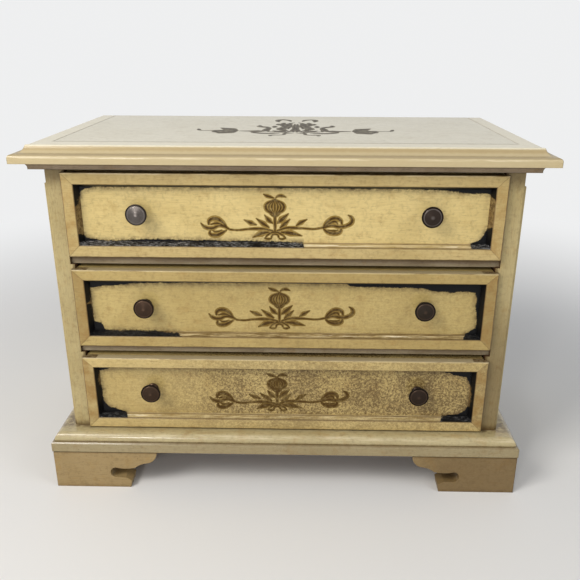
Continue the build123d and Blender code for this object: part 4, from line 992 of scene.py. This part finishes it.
def velvet_box(name, low, high, bays, softness):
    """A velvet-covered block with sunk bays, rounded along every edge."""
    piece = box_piece(name, low, high)
    edit(piece)
    cut_across(0, sorted({x for bay in bays for x in bay[0:2]}))
    cut_across(1, sorted({y for bay in bays for y in bay[2:4]}))
    bpy.ops.mesh.select_all(action="DESELECT")
    for face in bmesh.from_edit_mesh(piece.data).faces:
        middle = face.calc_center_median()
        if face.normal.z > 0.5 and any(
            left < middle.x < right and front < middle.y < back
            for left, right, front, back, _ in bays
        ):
            face.select_set(True)
    bmesh.update_edit_mesh(piece.data)
    sink = (0, 0, bays[0][4] - high.z)
    bpy.ops.mesh.extrude_region_move(TRANSFORM_OT_translate={"value": sink})
    leave()
    finish_with(piece, "BEVEL", width=softness, segments=3, limit_method="ANGLE")
    return piece


class BOX_OT_tray_velvet(bpy.types.Operator):
    """Makes the velvet insert of the tray, with its ring bay and two compartments"""

    bl_idname = "box.tray_velvet"
    bl_label = "Make the tray insert"

    def execute(self, context):
        low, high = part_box("tray_insert")
        edge = high.x - INSERT_WALL
        ring_end = -edge + RING_BAY
        room = (edge - ring_end - 2 * TRAY_DIVIDER) / 2
        second = ring_end + TRAY_DIVIDER
        third = second + room + TRAY_DIVIDER
        y = (low.y + INSERT_WALL, high.y - TRAY_LEDGE)
        floor = low.z + INSERT_FLOOR
        across = ((-edge, ring_end), (second, second + room), (third, edge))
        softness = panel(context, "interior").velvet_softness * 0.6
        piece = velvet_box("tray_velvet", low, high, [(*x, *y, floor) for x in across], softness)
        pin_low, pin_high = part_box("stop_plunger")
        middle = (pin_low + pin_high) / 2
        drill = cylinder(24, PLUNGER_HOLE, 2 * (high.z - low.z), (middle.x, middle.y, high.z))
        finish_with(piece, "BOOLEAN", operation="DIFFERENCE", object=drill, solver="EXACT")
        bpy.data.objects.remove(drill)
        complete(piece, velvet(context), "case", "tray_insert")
        return {"FINISHED"}


class BOX_OT_ring_rolls(bpy.types.Operator):
    """Makes the padded rolls that hold rings"""

    bl_idname = "box.ring_rolls"
    bl_label = "Make the ring rolls"

    def shape(self, roll, heart, length, floor):
        """Rounds and puckers a roll's ends and ripples its velvet; its underside lies flat."""
        live = bmesh.from_edit_mesh(roll.data)
        for vertex in live.verts:
            out = vertex.co - heart
            along = out.x / (length / 2)
            bend = max(0.0, (abs(along) - ROLL_STRAIGHT) / (1 - ROLL_STRAIGHT))
            reach = max(0.0, 1 - bend ** 2) ** 0.5
            crown = 0.965 + 0.035 * (1 - along * along)
            turn = math.atan2(out.z, out.y)
            pucker = 1 + 0.018 * math.sin(turn * 11 + 3) * max(0.0, (abs(along) - 0.6) / 0.4)
            ripple = 1 + 0.012 * math.sin(along * 21 + 2 * math.sin(turn * 2))
            size = max(reach, 0.3) * crown * pucker * ripple
            vertex.co.y = heart.y + out.y * size
            vertex.co.z = max(heart.z + out.z * size, floor)
        bmesh.update_edit_mesh(roll.data)

    def stuff(self, context, roll, sewn):
        """Swells the velvet over its stuffing by a short cloth simulation; the sewn ends stay."""
        before = [vertex.co.copy() for vertex in roll.data.vertices]
        roll.vertex_groups.new(name="sewn_ends").add(sewn, 1.0, "REPLACE")
        made = roll.modifiers.new("cloth", "CLOTH")
        made.settings.vertex_group_mass = "sewn_ends"
        made.settings.mass = 0.0002
        made.settings.use_pressure = True
        made.settings.uniform_pressure_force = 4
        made.settings.effector_weights.gravity = 0
        for step in range(1, CLOTH_FRAMES + 1):
            context.scene.frame_set(step)
        bpy.ops.object.modifier_apply(modifier=made.name)
        context.scene.frame_set(1)
        roll.vertex_groups.clear()
        for vertex, place in zip(roll.data.vertices, before):
            swell = vertex.co - place
            vertex.co = place + swell * min(1.0, STUFFING / max(swell.length, 1e-9))

    def execute(self, context):
        low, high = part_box("ring_rolls")
        width = (high.y - low.y + ROLL_GAP) / ROLLS - ROLL_GAP
        radius = width / 2
        length = high.x - low.x
        middle = (low.x + high.x) / 2
        heart = Vector((middle, low.y + radius, high.z - radius))
        roll = cylinder(ROLL_SIDES, radius, length, heart, (0, math.pi / 2, 0))
        roll.name = "ring_roll_velvet"
        settle(roll)
        edit(roll)
        places = (index / ROLL_CUTS - 0.5 for index in range(1, ROLL_CUTS))
        cut_across(0, [middle + length * place for place in places])
        self.shape(roll, heart, length, low.z)
        leave()
        sewn = length * SEWN_FROM
        ends = [v.index for v in roll.data.vertices if abs(v.co.x - middle) > sewn]
        self.stuff(context, roll, ends)
        finish_with(roll, "SUBSURF", levels=1, render_levels=1)
        copies = []
        for index in range(1, ROLLS):
            copy = roll.copy()
            copy.data = roll.data.copy()
            context.collection.objects.link(copy)
            copy.location = (0, index * (width + ROLL_GAP), 0)
            copies.append(copy)
        roll = joined("ring_rolls_velvet", roll, *copies)
        complete(roll, velvet(context), "case", "ring_rolls")
        return {"FINISHED"}


class BOX_OT_drawer_linings(bpy.types.Operator):
    """Makes the velvet linings of the three drawers"""

    bl_idname = "box.drawer_linings"
    bl_label = "Line the drawers"

    def execute(self, context):
        softness = panel(context, "interior").velvet_softness * 0.34
        material = velvet(context)
        wall = Vector((LINING, LINING, LINING))
        for row in DRAWERS:
            node = "drawer_%d_lining" % row
            low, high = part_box(node)
            near, far = low + wall, high - wall
            bay = (near.x, far.x, near.y, far.y, near.z)
            piece = velvet_box("drawer_%d_velvet" % row, low, high, [bay], softness)
            complete(piece, material, "drawer_%d" % row, node)
        return {"FINISHED"}


class BOX_OT_felt_dots(bpy.types.Operator):
    """Makes the felt dots that the lid rests on"""

    bl_idname = "box.felt_dots"
    bl_label = "Make the felt dots"

    def execute(self, context):
        low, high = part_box("lid_bumpers")
        z = (high.z + low.z) / 2
        dots = []
        for x in (low.x + FELT_RADIUS, high.x - FELT_RADIUS):
            for y in (low.y + FELT_RADIUS, high.y - FELT_RADIUS):
                dot = cylinder(40, FELT_RADIUS, high.z - low.z, (x, y, z))
                finish_with(dot, "BEVEL", width=FELT_SOFTNESS, segments=3, limit_method="ANGLE")
                dots.append(dot)
        piece = joined("felt_dots", dots.pop(), *dots)
        f = Finish("felt")
        tone = panel(context, "interior").felt
        fibre = f.noise(0.2, 4.0, 0.7)
        colour = f.mix(f.step(fibre, 0.35, 0.7), tinted(tone, 0.5), tone)
        normal = f.bump(fibre, 0.1)
        material = f.surface(Base_Color=colour, Roughness=0.95, Normal=normal, Sheen_Weight=0.3)
        complete(piece, material, "case", "lid_bumpers")
        return {"FINISHED"}


def painted_strokes(name, strokes, width, spread, rise, lift):
    """Brush strokes as low mounds on the ground plane: each runs through x, y and half width."""
    bpy.ops.object.select_all(action="DESELECT")
    bpy.ops.curve.primitive_bezier_curve_add()
    piece = bpy.context.active_object
    piece.name = name
    line = piece.data
    line.splines.clear()
    line.bevel_depth = 1 * MM
    line.bevel_resolution = 2
    line.resolution_u = 7
    line.use_fill_caps = True
    for stroke in strokes:
        spline = line.splines.new("BEZIER")
        spline.bezier_points.add(len(stroke) - 1)
        for point, (x, y, half) in zip(spline.bezier_points, stroke):
            point.co = (x * MM, y * MM, 0)
            point.radius = half * width + spread
            point.handle_left_type = point.handle_right_type = "AUTO"
    piece.scale = (1, 1, rise)
    piece.location = (0, 0, lift)
    bpy.ops.object.convert(target="MESH")
    settle(piece)
    return piece


def stencil(name, strokes, place, turn, materials):
    """A spray of leaves with darker veins, laid on a flat face of the box."""
    leaf = painted_strokes(name, strokes, LEAF_WIDTH, LEAF_SPREAD, LEAF_RISE, 0)
    vein = painted_strokes(name + "_veins", strokes, VEIN_WIDTH, 0, VEIN_RISE, VEIN_LIFT)
    for piece, material in zip((leaf, vein), materials):
        cover(piece, material)
    spray = joined(name, leaf, vein)
    spray.location = place
    spray.rotation_euler = turn
    settle(spray)
    smooth(spray)
    return spray


def stencil_paint(name, tone, ground, wear):
    """Thin stencil paint, worn through to the cream under it in places."""
    f = Finish(name)
    cloud = f.noise(2.6, 5.0, 0.7)
    colour = f.mix(f.step(cloud, 0.45, 0.7) * 0.5, tone, blend(tone, ground, 0.4))
    holes = f.step(f.noise(0.9, 4.0, 0.75), 0.72 - wear, 0.82 - wear)
    return f.surface(
        Base_Color=f.mix(holes * 0.5, colour, ground), Roughness=0.5 + cloud * 0.1,
        Normal=f.bump(cloud, 0.03), Specular_IOR_Level=0.2,
    )


class BOX_OT_stencils(bpy.types.Operator):
    """Stencils a spray of leaves and buds on each drawer and on the lid"""

    bl_idname = "box.stencils"
    bl_label = "Stencil the ornament"

    def execute(self, context):
        tones = panel(context, "paint")
        for row in DRAWERS:
            low, high = in_mm(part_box("drawer_%d_frame" % row))
            ground = tinted(tones.drawer, DRAWER_TONE_AND_SHADE[row])
            leaf = blend(tones.leaf, tones.vein, SPRAY_DEPTH[row])
            materials = (
                stencil_paint("leaf_%d" % row, leaf, ground, 0.12),
                stencil_paint("vein_%d" % row, tones.vein, ground, 0.08),
            )
            x, z = SPRAY_PLACE[row]
            place = Vector((x, PANEL_FACE, (low.z + high.z) / 2 + z)) * MM
            turn = (math.pi / 2, 0, 0)
            spray = stencil("drawer_%d_stencil" % row, DRAWER_SPRAY, place, turn, materials)
            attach(spray, "drawer_%d" % row)
        mirrored = [[(-x, y, half) for x, y, half in stroke] for stroke in LID_SPRAY_HALF]
        x, y = LID_SPRAY_PLACE
        place = Vector((x, y + CASE_FRONT, LID_TOP)) * MM
        materials = (
            stencil_paint("lid_leaf", tones.lid_leaf, tones.lid, 0.14),
            stencil_paint("lid_vein", tones.lid_vein, tones.lid, 0.1),
        )
        strokes = (*LID_SPRAY_HALF, *mirrored)
        spray = stencil("lid_stencil", strokes, place, (0, 0, 0), materials)
        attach(spray, "lid")
        return {"FINISHED"}


class BOX_OT_stage(bpy.types.Operator):
    """Sets up the floor, the lamps and the camera"""

    bl_idname = "box.stage"
    bl_label = "Set the stage"

    def backdrop(self, tone):
        """A round pale floor that curves up into a low wall."""
        bpy.ops.object.select_all(action="DESELECT")
        bpy.ops.mesh.primitive_circle_add(vertices=96, radius=FLOOR_RADIUS, fill_type="NGON")
        floor = bpy.context.active_object
        floor.name = "stage_floor"
        edit(floor)
        bpy.ops.mesh.select_mode(type="EDGE")
        for index in range(FLOOR_STEPS):
            before, turn = (at * math.pi / 2 / FLOOR_STEPS for at in (index, index + 1))
            reach = FLOOR_RADIUS + FLOOR_BEND * math.sin(turn)
            scale = reach / (FLOOR_RADIUS + FLOOR_BEND * math.sin(before))
            rise = FLOOR_BEND * (math.cos(before) - math.cos(turn))
            live = bmesh.from_edit_mesh(floor.data)
            top = max(vertex.co.z for vertex in live.verts)
            bpy.ops.mesh.select_all(action="DESELECT")
            for edge in live.edges:
                if edge.is_boundary and min(v.co.z for v in edge.verts) > top - 1e-6:
                    edge.select_set(True)
            bmesh.update_edit_mesh(floor.data)
            bpy.ops.mesh.extrude_region_move(TRANSFORM_OT_translate={"value": (0, 0, rise)})
            bpy.ops.transform.resize(value=(scale, scale, 1))
        leave()
        smooth(floor)
        f = Finish("pale_floor")
        colour = f.mix(f.noise(600) * 0.05, tone, tinted(tone, 0.9))
        ground = f.node("BsdfPrincipled", values={"Base Color": colour, "Roughness": 0.7})
        wall = f.node("Emission", values={"Color": WHITE, "Strength": 1.0})
        far = f.step(f.math("SQRT", f.x * f.x + f.y * f.y), 240, 750) * f.seen()
        shaders = {0: far, 1: ground.outputs[0], 2: wall.outputs[0]}
        both = f.node("MixShader", values=shaders)
        f.node("OutputMaterial", values={"Surface": both.outputs[0]})
        floor.data.materials.append(f.material)

    def lamp(self, name, place, size, power, tone):
        """A square soft lamp that points at the middle of the box."""
        light = bpy.data.lights.new(name, "AREA")
        light.size = size
        light.energy = power
        light.color = tone
        lamp = bpy.data.objects.new(name, light)
        bpy.context.collection.objects.link(lamp)
        lamp.location = place
        aim = Vector((0, 0, 0.12)) - Vector(place)
        lamp.rotation_euler = aim.to_track_quat("-Z", "Y").to_euler()

    def camera(self, lens):
        """The photograph's view: from the front, a little above the lid."""
        pitch, yaw, roll = (math.radians(turn) for turn in CAMERA_TURN)
        ahead = Vector(
            (math.sin(yaw) * math.cos(pitch), math.cos(yaw) * math.cos(pitch), -math.sin(pitch))
        )
        right = ahead.cross(Vector((0, 0, 1))).normalized()
        tilted = right * math.cos(roll) + right.cross(ahead) * math.sin(roll)
        data = bpy.data.cameras.new("camera")
        camera = bpy.data.objects.new("camera", data)
        bpy.context.collection.objects.link(camera)
        turn = Matrix((tilted, tilted.cross(ahead), -ahead)).transposed()
        camera.matrix_world = Matrix.Translation(CAMERA_PLACE) @ turn.to_4x4()
        data.lens = lens
        data.sensor_width = 36
        data.shift_x, data.shift_y = CAMERA_SHIFT
        data.clip_start = 0.01
        bpy.context.scene.camera = camera

    def execute(self, context):
        stage = panel(context, "stage")
        self.backdrop(stage.floor)
        self.lamp("key", (-0.62, -0.62, 0.82), 0.45, stage.key, (1, 0.97, 0.93))
        self.lamp("fill", (0.75, -0.5, 0.7), 0.5, stage.fill, (0.95, 0.97, 1))
        self.lamp("window", (-0.35, -1.1, 0.42), 0.13, stage.window, (1, 0.99, 0.97))
        world = bpy.data.worlds.new("world")
        context.scene.world = world
        f = Finish("world", world)
        glow = {"Color": (0.92, 0.95, 1), "Strength": stage.sky}
        sky = f.node("Background", values=glow)
        white = f.node("Background", values={"Color": WHITE, "Strength": 1.0})
        shaders = {0: f.seen(), 1: sky.outputs[0], 2: white.outputs[0]}
        both = f.node("MixShader", values=shaders)
        f.node("OutputWorld", values={"Surface": both.outputs[0]})
        self.camera(stage.lens)
        context.scene.view_settings.view_transform = "Standard"
        return {"FINISHED"}


OPERATORS = (
    BOX_OT_case_paint,
    BOX_OT_lid_paint,
    BOX_OT_drawer_paint,
    BOX_OT_plain_wood,
    BOX_OT_metal,
    BOX_OT_mirror,
    BOX_OT_tray_velvet,
    BOX_OT_ring_rolls,
    BOX_OT_drawer_linings,
    BOX_OT_felt_dots,
    BOX_OT_stencils,
    BOX_OT_stage,
)
GROUPS = {"box_paint": PaintSettings, "box_interior": InteriorSettings, "box_stage": StageSettings}


class BOX_PT_panel(bpy.types.Panel):
    """Lists the steps and their sizes and colours"""

    bl_idname = "BOX_PT_panel"
    bl_label = "Musical jewellery box"
    bl_space_type = "VIEW_3D"
    bl_region_type = "UI"
    bl_category = "Jewellery Box"

    def draw(self, context):
        for name, group in GROUPS.items():
            part = self.layout.box()
            values = getattr(context.scene, name)
            for key in group.__annotations__:
                part.prop(values, key)
        for operator in OPERATORS:
            self.layout.operator(operator.bl_idname)


def register():
    for name, group in GROUPS.items():
        bpy.utils.register_class(group)
        setattr(bpy.types.Scene, name, PointerProperty(type=group))
    for item in (*OPERATORS, BOX_PT_panel):
        bpy.utils.register_class(item)


def unregister():
    for item in (BOX_PT_panel, *reversed(OPERATORS)):
        bpy.utils.unregister_class(item)
    for name, group in GROUPS.items():
        delattr(bpy.types.Scene, name)
        bpy.utils.unregister_class(group)


def main():
    """Runs every step in order."""
    register()
    for operator in OPERATORS:
        group, step = operator.bl_idname.split(".")
        getattr(getattr(bpy.ops, group), step)()


if __name__ == "__main__":
    main()
